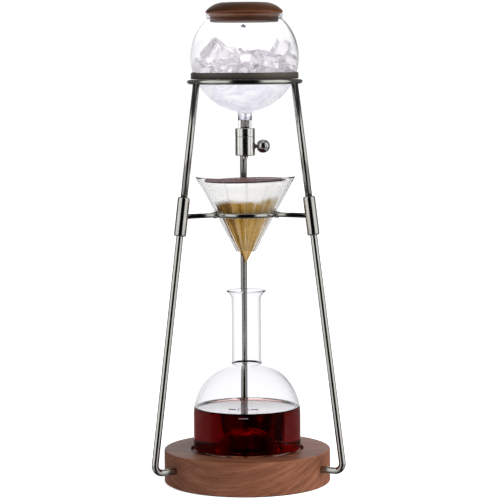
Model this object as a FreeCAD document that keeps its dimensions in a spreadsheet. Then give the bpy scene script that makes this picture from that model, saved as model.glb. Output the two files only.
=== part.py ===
import FreeCAD, Part
import math
import os
import re

import Sketcher
from FreeCAD import Placement, Rotation, Vector

# A cold drip coffee tower. A glass water globe hangs in a steel ring on three leaning legs.
# Water drips through a needle valve on to a paper filter in a glass cone, and the coffee runs
# into a flask that stands in a walnut base.
# Frame: millimetres, +Z up, origin on the tower's axis at the underside of the base pad, rear leg
# towards +Y, valve knob towards +X.

SIZES = {
    # base
    "pad_thickness": 1,
    "pad_inset": 3,
    "base_height": 39.2,
    "base_rim": 31,
    "base_edge_round": 1.6,
    "recess_depth": 4.7,
    "recess_margin": 3.1,
    "recess_edge_round": 0.5,
    # legs
    "rod_diameter": 8,
    "rod_fit": 0.05,
    "socket_height": 22,
    "socket_depth": 30,
    "foot_reach": 27.5,
    "foot_bend_radius": 9,
    "first_leg_turn": 90,
    "leg_count": 3,
    # screws that hold the legs in the base
    "screw_diameter": 4,
    "screw_inset": 10,
    "screw_head_diameter": 8,
    "screw_head_height": 2.6,
    "screw_hole_gap": 0.3,
    # sleeves that join lower and upper legs
    "sleeve_diameter": 14,
    "sleeve_length": 44.7,
    "sleeve_end_round": 2.2,
    "leg_joint_gap": 0.1,
    # rings
    "weld_gap": 0.04,
    "dripper_ring_bar": 6,
    "ring_arm_diameter": 5.6,
    "globe_ring_bar": 6.4,
    "globe_seat_angle": 66.4,
    "leg_top_drop": 1.2,
    # silicone cushion between globe and ring
    "cushion_thickness": 3.5,
    "cushion_width": 6.8,
    "cushion_overlap": 1.1,
    "cushion_rise": 10.2,
    "cushion_round": 0.8,
    # space under pieces that are lifted off by hand
    "rest_gap": 0.25,
    # flask
    "flask_radius": 62.4,
    "flask_height": 189.3,
    "flask_wall": 2.3,
    "flask_floor_wall": 5.5,
    "flask_corner_round": 10,
    "flask_shoulder": 44.8,
    "flask_neck_radius": 17.4,
    "flask_neck_wall": 2,
    "flask_lip_radius": 22.8,
    "flask_lip_height": 8,
    "flask_lip_land": 1.6,
    "flask_lip_round": 0.7,
    "punt_radius": 24.5,
    "punt_height": 28,
    "punt_edge_round": 2.5,
    # glass dripper, its paper and the disperser disc
    "tip_gap": 30.6,
    "cone_tip_radius": 11.2,
    "cone_rim_radius": 57.2,
    "cone_height": 86.6,
    "cone_wall": 2.6,
    "cone_rim_band": 1.5,
    "cone_edge_round": 0.6,
    "rib_count": 12,
    "rib_width": 2.2,
    "rib_foot": 1,
    "rib_head": 3.2,
    "rib_stop": 6,
    "paper_gap": 0.1,
    "paper_thickness": 0.5,
    "paper_sink": 5.2,
    "ring_rise": 43.5,
    "disc_sink": 5.2,
    "disc_thickness": 1.4,
    "disc_tilt": 1.3,
    "disc_hole_diameter": 2.2,
    "disc_hole_pitch": 10,
    "disc_hole_count": 6,
    # drip valve
    "nozzle_gap": 19.9,
    "nozzle_length": 3.9,
    "nozzle_tip_radius": 2.5,
    "nozzle_root_radius": 3.7,
    "nozzle_shank_radius": 3,
    "nozzle_shank_length": 6,
    "nozzle_bore_radius": 0.9,
    "valve_radius": 11.4,
    "valve_height": 21.8,
    "valve_edge_round": 0.8,
    "passage_radius": 1.5,
    "spindle_drop": 11.1,
    "spindle_radius": 2,
    "needle_length": 2.5,
    "gland_radius": 4.2,
    "gland_depth": 7,
    "packing_nut_length": 2.4,
    "packing_nut_proud": 0.9,
    "packing_nut_nose": 2.8,
    "spindle_seal_section": 2,
    "knob_reach": 20.7,
    "knob_radius": 7.9,
    "knob_shoulder": 7,
    "knob_grip_depth": 10,
    "running_fit": 0.05,
    # joint between valve and globe
    "neck_radius": 10,
    "neck_height": 4.6,
    "cap_nut_height": 9.8,
    "cap_lip_height": 2.9,
    "stub_seal_section": 1.7,
    "washer_thickness": 1,
    "inlet_radius": 5.2,
    "inlet_bore_radius": 1.6,
    "inlet_rise": 20.1,
    "inlet_seat_depth": 4,
    "screen_radius": 4.2,
    "screen_thickness": 0.8,
    "screen_hole_diameter": 1.4,
    "screen_hole_pitch": 2.6,
    "screen_hole_count": 6,
    # water globe and its lid
    "globe_radius": 63,
    "globe_wall": 2.2,
    "stub_radius": 8.1,
    "stub_length": 28,
    "stub_wall": 2.2,
    "stub_root_round": 4,
    "mouth_radius": 41.2,
    "mouth_land": 5.1,
    "rim_band": 5,
    "rim_round": 0.9,
    "vent_diameter": 2.8,
    "vent_rise": 33.9,
    "vent_turn": 2.8,
    "lid_plug_wall": 1.8,
    "lid_plug_depth": 10,
    "lid_seat_width": 1.8,
    "lid_overhang": 3.2,
    "lid_edge_rise": 1,
    "lid_edge_band": 0.9,
    "lid_crown_radius": 27,
    "lid_crown_drop": 0.8,
    "lid_bow_radius": 27.5,
    "lid_height": 12.75,
    "gasket_height": 3.6,
}

# Sizes and places that follow from the ones above, from the base upwards.
FORMULAS = {
    "third_turn": "360 / leg_count",
    "fit_bore": "rod_diameter / 2 + rod_fit",
    "recess_radius": "flask_radius + recess_margin",
    "recess_floor": "base_height - recess_depth",
    "base_radius": "recess_radius + base_rim",
    "socket_end": "base_radius - socket_depth",
    "screw_reach": "socket_end + screw_inset",
    "foot_radius": "base_radius + foot_reach",
    # flask
    "flask_bottom": "recess_floor + rest_gap",
    "flask_top": "flask_bottom + flask_height",
    "dome_height": "flask_bottom + flask_shoulder",
    "neck_foot": "dome_height + sqrt(flask_radius ^ 2 - flask_neck_radius ^ 2)",
    "bore_radius": "flask_radius - flask_wall",
    "neck_bore": "flask_neck_radius - flask_neck_wall",
    "neck_bore_foot": "dome_height + sqrt(bore_radius ^ 2 - neck_bore ^ 2)",
    "flask_floor": "flask_bottom + flask_floor_wall",
    "punt_arc": "(punt_height ^ 2 + punt_radius ^ 2) / (2 * punt_height)",
    "punt_centre": "flask_bottom + punt_height - punt_arc",
    "punt_wall_arc": "punt_arc + flask_wall",
    "punt_wall_foot": "sqrt(punt_wall_arc ^ 2 - (flask_floor - punt_centre) ^ 2)",
    # dripper
    "cone_slope": "(cone_rim_radius - cone_tip_radius) / (cone_height - cone_rim_band)",
    "cone_wall_across": "cone_wall * sqrt(1 + cone_slope ^ 2)",
    "bowl_tip_radius": "cone_tip_radius - cone_wall_across",
    "bowl_rim_radius": "cone_rim_radius - cone_wall_across",
    "paper_tip_radius": "bowl_tip_radius - rib_foot",
    "paper_slope": "(bowl_rim_radius - rib_head - paper_tip_radius) / cone_height",
    "paper_tip": "flask_top + tip_gap",
    "cone_tip": "paper_tip + paper_tip_radius / paper_slope",
    "cone_rim": "cone_tip + cone_height",
    "paper_top": "cone_rim - paper_sink",
    "paper_across": "paper_thickness * sqrt(1 + paper_slope ^ 2)",
    "paper_top_radius": "(paper_top - paper_tip) * paper_slope",
    "disc_bottom": "cone_rim - disc_sink",
    "disc_radius": "((disc_bottom - paper_tip) * paper_slope - paper_across - rest_gap)"
                   " / (1 + paper_slope * sin(disc_tilt))",
    "ring_height": "cone_tip + ring_rise",
    "dripper_ring_radius": "cone_tip_radius + ring_rise * cone_slope"
                           " + (dripper_ring_bar / 2 + rest_gap) * sqrt(1 + cone_slope ^ 2)",
    # valve
    "nozzle_tip": "cone_rim + nozzle_gap",
    "valve_bottom": "nozzle_tip + nozzle_length",
    "valve_shoulder": "valve_bottom + valve_height",
    "spindle_height": "valve_shoulder - spindle_drop",
    "gland_floor": "valve_radius - gland_depth",
    "seal_centre": "spindle_radius + running_fit + spindle_seal_section / 2",
    "needle_root": "-passage_radius",
    "needle_tip": "needle_root - needle_length",
    "knob_face": "knob_reach - knob_shoulder",
    "spindle_end": "knob_face + knob_grip_depth",
    "pocket_floor": "valve_shoulder - washer_thickness - running_fit",
    "inlet_foot": "pocket_floor - inlet_seat_depth",
    "inlet_top": "pocket_floor + inlet_rise",
    "neck_top": "valve_shoulder + neck_height",
    "cap_top": "valve_shoulder + cap_nut_height",
    "stub_seal_radius": "stub_radius + running_fit + stub_seal_section / 2",
    # globe
    "globe_bottom": "valve_shoulder + stub_length",
    "globe_height": "globe_bottom + globe_radius",
    "globe_bore": "globe_radius - globe_wall",
    "stub_bore": "stub_radius - stub_wall",
    "stub_root": "globe_height - sqrt(globe_radius ^ 2 - stub_radius ^ 2)",
    "stub_bore_root": "globe_height - sqrt(globe_bore ^ 2 - stub_bore ^ 2)",
    "mouth_foot": "globe_height + sqrt(globe_bore ^ 2 - mouth_radius ^ 2)",
    "globe_rim": "mouth_foot + mouth_land",
    "rim_foot": "globe_rim - rim_band",
    "rim_radius": "sqrt(globe_radius ^ 2 - (rim_foot - globe_height) ^ 2)",
    "seat_reach": "globe_radius + cushion_thickness + globe_ring_bar / 2",
    "globe_ring_radius": "seat_reach * sin(globe_seat_angle)",
    "globe_ring_height": "globe_height - seat_reach * cos(globe_seat_angle)",
    "cushion_top": "globe_ring_height + cushion_rise",
    "cushion_bottom": "globe_ring_height - leg_top_drop + rest_gap",
    "cushion_outer": "globe_ring_radius - globe_ring_bar / 2 + cushion_overlap",
    # lid
    "lid_seat": "globe_rim + rest_gap",
    "lid_plug_radius": "mouth_radius - lid_plug_wall",
    "lid_plug_bottom": "lid_seat - lid_plug_depth",
    "lid_top": "lid_seat + lid_height",
    # lean of the legs
    "leg_slope": "(foot_radius - globe_ring_radius) / (globe_ring_height - socket_height)",
    "leg_lean": "atan(leg_slope)",
    "leg_stretch": "sqrt(1 + leg_slope ^ 2)",
    "sleeve_radius_out": "foot_radius - (ring_height - socket_height) * leg_slope",
}


def expression(text):
    """Turn named sizes into references to the sheet, and named formulas into their own text."""

    def replace(match):
        name = match.group()
        if name in SIZES:
            return "Sizes." + name
        if name in FORMULAS:
            return "(" + expression(FORMULAS[name]) + ")"
        return name

    return re.sub(r"[a-z][a-z_0-9]*", replace, text)


TOLERANCE = 1e-4

doc = FreeCAD.newDocument("cold_drip_coffee_tower")
sheet = doc.addObject("Spreadsheet::Sheet", "Sizes")
for row, (alias, size) in enumerate(SIZES.items(), start=1):
    sheet.set(f"A{row}", alias)
    sheet.set(f"B{row}", str(size))
    sheet.setAlias(f"B{row}", alias)
doc.recompute()


def value(text):
    """Number that an expression gives with the sizes in the sheet."""
    result = sheet.evalExpression(expression(text))
    return float(getattr(result, "Value", result))


def bind(thing, prop, text):
    thing.setExpression(prop, expression(text))


# ---------------------------------------------------------------- sketches


class Bow:
    """A circular edge between two corners, with its centre on the side of a given point."""

    def __init__(self, radius, near):
        self.radius = radius
        self.near = Vector(value(near[0]), value(near[1]), 0)

    def centre(self, start, end):
        half = (end - start) * 0.5
        rise = math.sqrt(value(self.radius) ** 2 - half.Length ** 2)
        across = Vector(-half.y, half.x, 0).normalize() * rise
        return min((start + half + across, start + half - across),
                   key=lambda centre: centre.distanceToPoint(self.near))


def arc_geometry(centre, radius, start, end, counterclockwise):
    """Arc from start to end, and the vertex numbers that lie at start and at end."""
    first, last = (start, end) if counterclockwise else (end, start)
    angles = [math.atan2(point.y - centre.y, point.x - centre.x) for point in (first, last)]
    if angles[1] < angles[0]:
        angles[1] += 2 * math.pi
    circle = Part.Circle(centre, Vector(0, 0, 1), radius)
    return Part.ArcOfCircle(circle, angles[0], angles[1]), (1, 2) if counterclockwise else (2, 1)


def fix_point(sketch, geometry, vertex, corner, numbers):
    """Hold a sketch vertex at the place that the corner's two expressions give."""
    for axis, kind, text, number in ((-2, "DistanceX", corner[0], numbers.x),
                                     (-1, "DistanceY", corner[1], numbers.y)):
        if text == "0":
            sketch.addConstraint(Sketcher.Constraint("PointOnObject", geometry, vertex, axis))
        else:
            index = sketch.addConstraint(
                Sketcher.Constraint(kind, -1, 1, geometry, vertex, number))
            bind(sketch, f"Constraints[{index}]", text)


def draw(sketch, items, closed=True):
    """Draw corners joined by lines, or by the Bow that stands between two of them.

    A corner is (across, up) or (across, up, rounding), each an expression.
    """
    corners, bows = [], {}
    for item in items:
        if isinstance(item, Bow):
            bows[len(corners) - 1] = item
        else:
            corners.append(item)
    count = len(corners)
    points = [Vector(value(corner[0]), value(corner[1]), 0) for corner in corners]
    entry, leave, rounds = list(points), list(points), {}
    for k, corner in enumerate(corners):
        if len(corner) == 3:
            towards = (points[k - 1] - points[k]).normalize()
            away = (points[(k + 1) % count] - points[k]).normalize()
            half = towards.getAngle(away) / 2
            radius = value(corner[2])
            entry[k] = points[k] + towards * (radius / math.tan(half))
            leave[k] = points[k] + away * (radius / math.tan(half))
            middle = points[k] + (towards + away).normalize() * (radius / math.sin(half))
            rounds[k] = (middle, radius, towards.cross(away).z < 0)
    edges = []
    for k in range(count if closed else count - 1):
        after = (k + 1) % count
        if k in bows:
            middle = bows[k].centre(leave[k], entry[after])
            turn = (leave[k] - middle).cross(entry[after] - middle).z
            shape, ends = arc_geometry(middle, value(bows[k].radius), leave[k], entry[after],
                                       turn > 0)
        else:
            shape, ends = Part.LineSegment(leave[k], entry[after]), (1, 2)
        edges.append((sketch.addGeometry(shape), ends))
    for k in bows:
        index = sketch.addConstraint(
            Sketcher.Constraint("Radius", edges[k][0], value(bows[k].radius)))
        bind(sketch, f"Constraints[{index}]", bows[k].radius)
    for k, corner in enumerate(corners):
        before = edges[k - 1] if closed or k > 0 else None
        after = edges[k] if k < len(edges) else None
        if k in rounds:
            middle, radius, counterclockwise = rounds[k]
            shape, ends = arc_geometry(middle, radius, entry[k], leave[k], counterclockwise)
            arc = sketch.addGeometry(shape)
            virtual = sketch.addGeometry(Part.Point(points[k]), True)
            sketch.addConstraint([
                Sketcher.Constraint("Tangent", before[0], before[1][1], arc, ends[0]),
                Sketcher.Constraint("Tangent", arc, ends[1], after[0], after[1][0]),
                Sketcher.Constraint("PointOnObject", virtual, 1, before[0]),
                Sketcher.Constraint("PointOnObject", virtual, 1, after[0])])
            index = sketch.addConstraint(Sketcher.Constraint("Radius", arc, radius))
            bind(sketch, f"Constraints[{index}]", corner[2])
            fix_point(sketch, virtual, 1, corner, points[k])
            continue
        if before and after:
            sketch.addConstraint(Sketcher.Constraint(
                "Coincident", before[0], before[1][1], after[0], after[1][0]))
        edge, vertex = (after[0], after[1][0]) if after else (before[0], before[1][1])
        fix_point(sketch, edge, vertex, corner, points[k])


def draw_circle(sketch, across, up, radius):
    """Circle whose centre and radius are expressions."""
    centre = Vector(value(across), value(up), 0)
    circle = sketch.addGeometry(Part.Circle(centre, Vector(0, 0, 1), value(radius)))
    fix_point(sketch, circle, 3, (across, up), centre)
    index = sketch.addConstraint(Sketcher.Constraint("Radius", circle, value(radius)))
    bind(sketch, f"Constraints[{index}]", radius)


# ---------------------------------------------------------------- bodies and features


def new_body(label, turn=None, height=None):
    """Body of one sub-part, turned about +Z or raised by an expression."""
    body = doc.addObject("PartDesign::Body", label)
    body.Label = label
    body.AllowCompound = True
    body.Placement = Placement(Vector(0, 0, 0), Rotation(Vector(0, 0, 1), 0))
    if turn:
        bind(body, "Placement.Rotation.Angle", turn)
    if height:
        bind(body, "Placement.Base.z", height)
    return body


def origin_feature(body, role):
    return next(feature for feature in body.Origin.OriginFeatures if feature.Role == role)


def new_sketch(body, plane, offset=None):
    """Sketch on one of the body's origin planes, moved along the plane's normal."""
    sketch = body.newObject("Sketcher::SketchObject", f"{body.Name}_sketch")
    sketch.AttachmentSupport = [(origin_feature(body, plane), "")]
    sketch.MapMode = "FlatFace"
    if offset:
        bind(sketch, "AttachmentOffset.Base.z", offset)
    return sketch


def leaning_sketch(body, across, up):
    """Sketch square to the leg's axis, at a point of that axis."""
    sketch = new_sketch(body, "XY_Plane")
    sketch.AttachmentOffset = Placement(Vector(0, 0, 0), Rotation(Vector(0, -1, 0), 1))
    bind(sketch, "AttachmentOffset.Base.x", across)
    bind(sketch, "AttachmentOffset.Base.z", up)
    bind(sketch, "AttachmentOffset.Rotation.Angle", "leg_lean")
    return sketch


def add_feature(body, kind, profile, **settings):
    """Add a PartDesign feature. Text settings are expressions, all others are values."""
    feature = body.newObject(f"PartDesign::{kind}", f"{body.Name}_{kind.lower()}")
    if profile:
        feature.Profile = profile
        profile.Visibility = False
    for name, setting in settings.items():
        if isinstance(setting, str):
            bind(feature, name, setting)
        else:
            setattr(feature, name, setting)
    return feature


def revolve(body, items, kind="Revolution", axis="V_Axis"):
    """Turn a closed outline of (radius, height) corners about an axis of its sketch."""
    sketch = new_sketch(body, "XZ_Plane")
    draw(sketch, items)
    return add_feature(body, kind, sketch, ReferenceAxis=(sketch, [axis]), Angle=360.0)


def groove_ring(body, ring_radius, ring_height, bar_radius):
    """Cut away the space of a ring of round bar, so that the piece is coped to it."""
    sketch = new_sketch(body, "XZ_Plane")
    draw_circle(sketch, ring_radius, ring_height, bar_radius)
    return add_feature(body, "Groove", sketch, ReferenceAxis=(sketch, ["V_Axis"]), Angle=360.0)


def repeat_about_z(body, features, number, angle=360.0):
    """Polar pattern of features about the body's Z axis."""
    pattern = body.newObject("PartDesign::PolarPattern", f"{body.Name}_pattern")
    pattern.Originals = features
    pattern.Axis = (origin_feature(body, "Z_Axis"), [""])
    pattern.Angle = angle
    bind(pattern, "Occurrences", number)
    body.Tip = pattern
    return pattern


def round_edges(body, feature, circle, radius, height=None):
    """Fillet the feature's circular edges of one radius, at one height if that is given."""
    doc.recompute()
    names = []
    for number, edge in enumerate(feature.Shape.Edges, start=1):
        if edge.Degenerated or not isinstance(edge.Curve, Part.Circle):
            continue
        right_size = abs(edge.Curve.Radius - value(circle)) < TOLERANCE
        if right_size and (not height or abs(edge.Curve.Center.z - value(height)) < TOLERANCE):
            names.append(f"Edge{number}")
    fillet = body.newObject("PartDesign::Fillet", f"{body.Name}_fillet")
    fillet.Base = (feature, names)
    bind(fillet, "Radius", radius)
    return fillet


SUBPARTS = []


def keep(body):
    SUBPARTS.append(body)
    return body


def turned(label, items):
    """Sub-part turned about the tower's axis."""
    body = keep(new_body(label))
    revolve(body, items)
    return body


def bar_ring(label, radius, height, bar):
    """Closed ring of round bar about the tower's axis."""
    body = keep(new_body(label))
    sketch = new_sketch(body, "XZ_Plane")
    draw_circle(sketch, radius, height, f"{bar} / 2")
    add_feature(body, "Revolution", sketch, ReferenceAxis=(sketch, ["V_Axis"]), Angle=360.0)


# ---------------------------------------------------------------- base


def base_disc():
    """Round walnut base with a shallow recess for the flask and a blind socket for each leg."""
    body = keep(new_body("base_disc", turn="first_leg_turn"))
    revolve(body, [
        ("0", "pad_thickness"),
        ("base_radius", "pad_thickness", "base_edge_round"),
        ("base_radius", "base_height", "base_edge_round"),
        ("recess_radius", "base_height", "recess_edge_round"),
        ("recess_radius", "recess_floor"),
        ("0", "recess_floor")])
    socket = new_sketch(body, "YZ_Plane", "base_radius + 1")
    draw_circle(socket, "0", "socket_height", "fit_bore")
    socket_hole = add_feature(body, "Pocket", socket, Length="socket_depth + 1")
    head = new_sketch(body, "XY_Plane", "pad_thickness")
    draw_circle(head, "screw_reach", "0", "screw_head_diameter / 2 + screw_hole_gap")
    head_hole = add_feature(body, "Pocket", head, Reversed=True,
                            Length="screw_head_height + screw_hole_gap")
    shank = new_sketch(body, "XY_Plane", "pad_thickness")
    draw_circle(shank, "screw_reach", "0", "screw_diameter / 2 + screw_hole_gap")
    shank_hole = add_feature(body, "Pocket", shank, Reversed=True,
                             Length="socket_height - pad_thickness")
    repeat_about_z(body, [socket_hole, head_hole, shank_hole], "leg_count")


def base_pad():
    """Anti-slip pad that covers the screws under the base."""
    turned("base_pad", [
        ("0", "0"),
        ("base_radius - pad_inset", "0"),
        ("base_radius - pad_inset", "pad_thickness"),
        ("0", "pad_thickness")])


def leg_screws():
    """Three machine screws that rise through the base into the ends of the legs."""
    body = keep(new_body("leg_screws", turn="first_leg_turn"))
    head = new_sketch(body, "XY_Plane", "pad_thickness + screw_hole_gap")
    draw_circle(head, "screw_reach", "0", "screw_head_diameter / 2")
    head_pad = add_feature(body, "Pad", head, Length="screw_head_height")
    shank = new_sketch(body, "XY_Plane", "pad_thickness + screw_hole_gap")
    draw_circle(shank, "screw_reach", "0", "screw_diameter / 2")
    shank_pad = add_feature(body, "Pad", shank,
                            Length="socket_height - pad_thickness + screw_diameter / 2")
    repeat_about_z(body, [head_pad, shank_pad], "leg_count")


# ---------------------------------------------------------------- legs, sleeves and rings


def lower_leg(side, turn):
    """Bent rod from the base's socket, round the foot and up to the middle of its sleeve."""
    body = keep(new_body(f"lower_leg_{side}", turn))
    path = new_sketch(body, "XZ_Plane")
    top = "ring_height - leg_joint_gap / 2"
    draw(path, [
        ("socket_end", "socket_height"),
        ("foot_radius", "socket_height", "foot_bend_radius"),
        (f"foot_radius - ({top} - socket_height) * leg_slope", top)], closed=False)
    section = new_sketch(body, "YZ_Plane", "socket_end")
    draw_circle(section, "0", "socket_height", "rod_diameter / 2")
    add_feature(body, "AdditivePipe", section, Spine=(path, []))
    doc.recompute()
    tapped = new_sketch(body, "XY_Plane", "socket_height - rod_diameter")
    draw_circle(tapped, "screw_reach", "0", "screw_diameter / 2 + running_fit")
    add_feature(body, "Pocket", tapped, Reversed=True, Length="rod_diameter + screw_diameter")


def upper_leg(side, turn):
    """Straight rod from the middle of its sleeve to the globe ring, coped to the ring."""
    body = keep(new_body(f"upper_leg_{side}", turn))
    foot = "ring_height + leg_joint_gap / 2"
    section = leaning_sketch(body, f"foot_radius - ({foot} - socket_height) * leg_slope", foot)
    draw_circle(section, "0", "0", "rod_diameter / 2")
    add_feature(body, "Pad", section,
                Length=f"(globe_ring_height - leg_top_drop - ({foot})) * leg_stretch")
    groove_ring(body, "globe_ring_radius", "globe_ring_height", "globe_ring_bar / 2 + weld_gap")


def leg_sleeve(side, turn):
    """Coupling tube over the joint between a lower and an upper leg."""
    body = keep(new_body(f"leg_sleeve_{side}", turn))
    section = leaning_sketch(body, "sleeve_radius_out", "ring_height")
    draw_circle(section, "0", "0", "sleeve_diameter / 2")
    draw_circle(section, "0", "0", "fit_bore")
    tube = add_feature(body, "Pad", section, Length="sleeve_length", Midplane=True)
    round_edges(body, tube, "sleeve_diameter / 2", "sleeve_end_round")


def ring_arm(side, turn):
    """Short rod between a sleeve and the dripper ring, coped at both ends."""
    body = keep(new_body(f"ring_arm_{side}", turn))
    section = new_sketch(body, "YZ_Plane", "dripper_ring_radius + dripper_ring_bar / 8")
    draw_circle(section, "0", "ring_height", "ring_arm_diameter / 2")
    add_feature(body, "Pad", section,
                Length="sleeve_radius_out - dripper_ring_radius - dripper_ring_bar / 8")
    groove_ring(body, "dripper_ring_radius", "ring_height", "dripper_ring_bar / 2 + weld_gap")
    sleeve = leaning_sketch(body, "sleeve_radius_out", "ring_height")
    draw_circle(sleeve, "0", "0", "sleeve_diameter / 2 + weld_gap")
    add_feature(body, "Pocket", sleeve, Length="sleeve_length", Midplane=True)


def legs():
    for number, side in enumerate(("rear", "left", "right")):
        turn = f"first_leg_turn + {number} * third_turn"
        lower_leg(side, turn)
        upper_leg(side, turn)
        leg_sleeve(side, turn)
        ring_arm(side, turn)


def globe_cushion():
    """Silicone ring, shaped to the steel ring below it and to the globe that it carries."""
    body = turned("globe_cushion", [
        ("cushion_outer - cushion_width", "cushion_bottom"),
        ("cushion_outer", "cushion_bottom"),
        ("cushion_outer", "cushion_top", "cushion_round"),
        ("cushion_outer - cushion_width", "cushion_top")])
    groove_ring(body, "globe_ring_radius", "globe_ring_height", "globe_ring_bar / 2 + rest_gap")
    revolve(body, [
        ("0", "globe_height - globe_radius - rest_gap"),
        Bow("globe_radius + rest_gap", ("0", "globe_height")),
        ("globe_radius + rest_gap", "globe_height"),
        ("0", "globe_height")], kind="Groove")


# ---------------------------------------------------------------- flask


def flask():
    """Glass flask: domed body with a push-up in its floor, straight neck and flared lip."""
    body = keep(new_body("flask"))
    glass = revolve(body, [
        ("0", "flask_bottom + punt_height"),
        Bow("punt_arc", ("0", "punt_centre")),
        ("punt_radius", "flask_bottom"),
        ("flask_radius", "flask_bottom", "flask_corner_round"),
        ("flask_radius", "dome_height"),
        Bow("flask_radius", ("0", "dome_height")),
        ("flask_neck_radius", "neck_foot"),
        ("flask_neck_radius", "flask_top - flask_lip_height", "flask_lip_height / 2"),
        ("flask_lip_radius", "flask_top - flask_lip_land"),
        ("flask_lip_radius", "flask_top", "flask_lip_round"),
        ("flask_lip_radius - flask_neck_wall", "flask_top", "flask_lip_round"),
        ("neck_bore", "flask_top - flask_lip_height", "flask_lip_height"),
        ("neck_bore", "neck_bore_foot"),
        Bow("bore_radius", ("0", "dome_height")),
        ("bore_radius", "dome_height"),
        ("bore_radius", "flask_floor", "flask_corner_round - flask_wall"),
        ("punt_wall_foot", "flask_floor"),
        Bow("punt_wall_arc", ("0", "punt_centre")),
        ("0", "flask_bottom + punt_height + flask_wall")])
    round_edges(body, glass, "punt_radius", "punt_edge_round", height="flask_bottom")


# ---------------------------------------------------------------- dripper


def dripper_cone():
    """Pressed glass cone, open at its tip, with straight ribs that carry the paper."""
    body = keep(new_body("dripper_cone"))
    revolve(body, [
        ("bowl_tip_radius", "cone_tip", "cone_edge_round"),
        ("cone_tip_radius", "cone_tip", "cone_edge_round"),
        ("cone_rim_radius", "cone_rim - cone_rim_band"),
        ("cone_rim_radius", "cone_rim", "cone_edge_round"),
        ("bowl_rim_radius", "cone_rim", "cone_edge_round")])
    rib = new_sketch(body, "XZ_Plane")
    low, high = "cone_tip + cone_edge_round", "cone_rim - rib_stop"
    outline = []
    for height in (low, high):
        outline.append((f"paper_tip_radius + paper_gap + ({height} - cone_tip) * paper_slope",
                        height))
    for height in (high, low):
        outline.append((f"bowl_tip_radius + cone_wall / 2 + ({height} - cone_tip) *"
                        " (bowl_rim_radius - bowl_tip_radius) / cone_height", height))
    draw(rib, outline)
    ribs = add_feature(body, "Pad", rib, Length="rib_width", Midplane=True)
    repeat_about_z(body, [ribs], "rib_count")


def paper_filter():
    """Folded paper cone that stands on the ribs, its point below the open tip of the glass."""
    turned("paper_filter", [
        ("0", "paper_tip"),
        ("paper_top_radius", "paper_top"),
        ("paper_top_radius - paper_across", "paper_top"),
        ("0", "paper_tip + paper_across / paper_slope")])


def disperser_disc():
    """Thin perforated disc that lies a little askew in the top of the paper."""
    body = keep(new_body("disperser_disc", turn="disc_tilt", height="disc_bottom"))
    body.Placement = Placement(body.Placement.Base, Rotation(Vector(0, -1, 0), value("disc_tilt")))
    revolve(body, [
        ("0", "0"),
        ("disc_radius", "0"),
        ("disc_radius", "disc_thickness"),
        ("0", "disc_thickness")])
    rim = new_sketch(body, "XY_Plane", "disc_thickness")
    draw_circle(rim, "0", "0", "disc_hole_diameter / 2")
    add_feature(body, "Pocket", rim, Length="disc_thickness")
    for row in (1, 2, 3, 4):
        hole = new_sketch(body, "XY_Plane", "disc_thickness")
        draw_circle(hole, f"{row} * disc_hole_pitch", "0", "disc_hole_diameter / 2")
        pocket = add_feature(body, "Pocket", hole, Length="disc_thickness")
        repeat_about_z(body, [pocket], f"{row} * disc_hole_count")


# ---------------------------------------------------------------- drip valve


def drip_nozzle():
    """Tapered outlet that screws into the valve from below."""
    turned("drip_nozzle", [
        ("nozzle_bore_radius", "nozzle_tip"),
        ("nozzle_tip_radius", "nozzle_tip"),
        ("nozzle_root_radius", "valve_bottom"),
        ("nozzle_shank_radius", "valve_bottom"),
        ("nozzle_shank_radius", "valve_bottom + nozzle_shank_length"),
        ("nozzle_bore_radius", "valve_bottom + nozzle_shank_length")])


def valve_body():
    """Valve block: nozzle thread below, needle gland at the side, pocket for the globe's stub."""
    body = turned("valve_body", [
        ("nozzle_shank_radius + running_fit", "valve_bottom"),
        ("valve_radius", "valve_bottom", "valve_edge_round"),
        ("valve_radius", "valve_shoulder"),
        ("neck_radius", "valve_shoulder"),
        ("neck_radius", "neck_top"),
        ("stub_radius + running_fit", "neck_top"),
        ("stub_radius + running_fit", "pocket_floor"),
        ("inlet_radius + running_fit", "pocket_floor"),
        ("inlet_radius + running_fit", "inlet_foot"),
        ("passage_radius", "inlet_foot"),
        ("passage_radius", "valve_bottom + nozzle_shank_length + running_fit"),
        ("nozzle_shank_radius + running_fit",
         "valve_bottom + nozzle_shank_length + running_fit")])
    gland = new_sketch(body, "YZ_Plane", "valve_radius + 1")
    draw_circle(gland, "0", "spindle_height", "gland_radius")
    add_feature(body, "Pocket", gland, Length="gland_depth + 1")
    needle = new_sketch(body, "YZ_Plane", "gland_floor + 1")
    draw_circle(needle, "0", "spindle_height", "spindle_radius + running_fit")
    add_feature(body, "Pocket", needle, Length="gland_floor + 1 - needle_tip + running_fit")


def valve_cap_nut():
    """Nut that screws on to the valve's neck and squeezes the seal round the glass stub."""
    turned("valve_cap_nut", [
        ("neck_radius + running_fit", "valve_shoulder + running_fit"),
        ("valve_radius", "valve_shoulder + running_fit"),
        ("valve_radius", "cap_top", "valve_edge_round"),
        ("stub_radius + running_fit", "cap_top"),
        ("stub_radius + running_fit", "cap_top - cap_lip_height"),
        ("neck_radius + running_fit", "cap_top - cap_lip_height")])


def seals():
    """O-ring in the cap nut and flat washer under the stub."""
    bar_ring("stub_seal", "stub_seal_radius", "cap_top - cap_lip_height - stub_seal_section / 2",
             "stub_seal_section")
    turned("stub_washer", [
        ("inlet_radius + running_fit", "pocket_floor"),
        ("stub_radius", "pocket_floor"),
        ("stub_radius", "pocket_floor + washer_thickness"),
        ("inlet_radius + running_fit", "pocket_floor + washer_thickness")])


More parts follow.
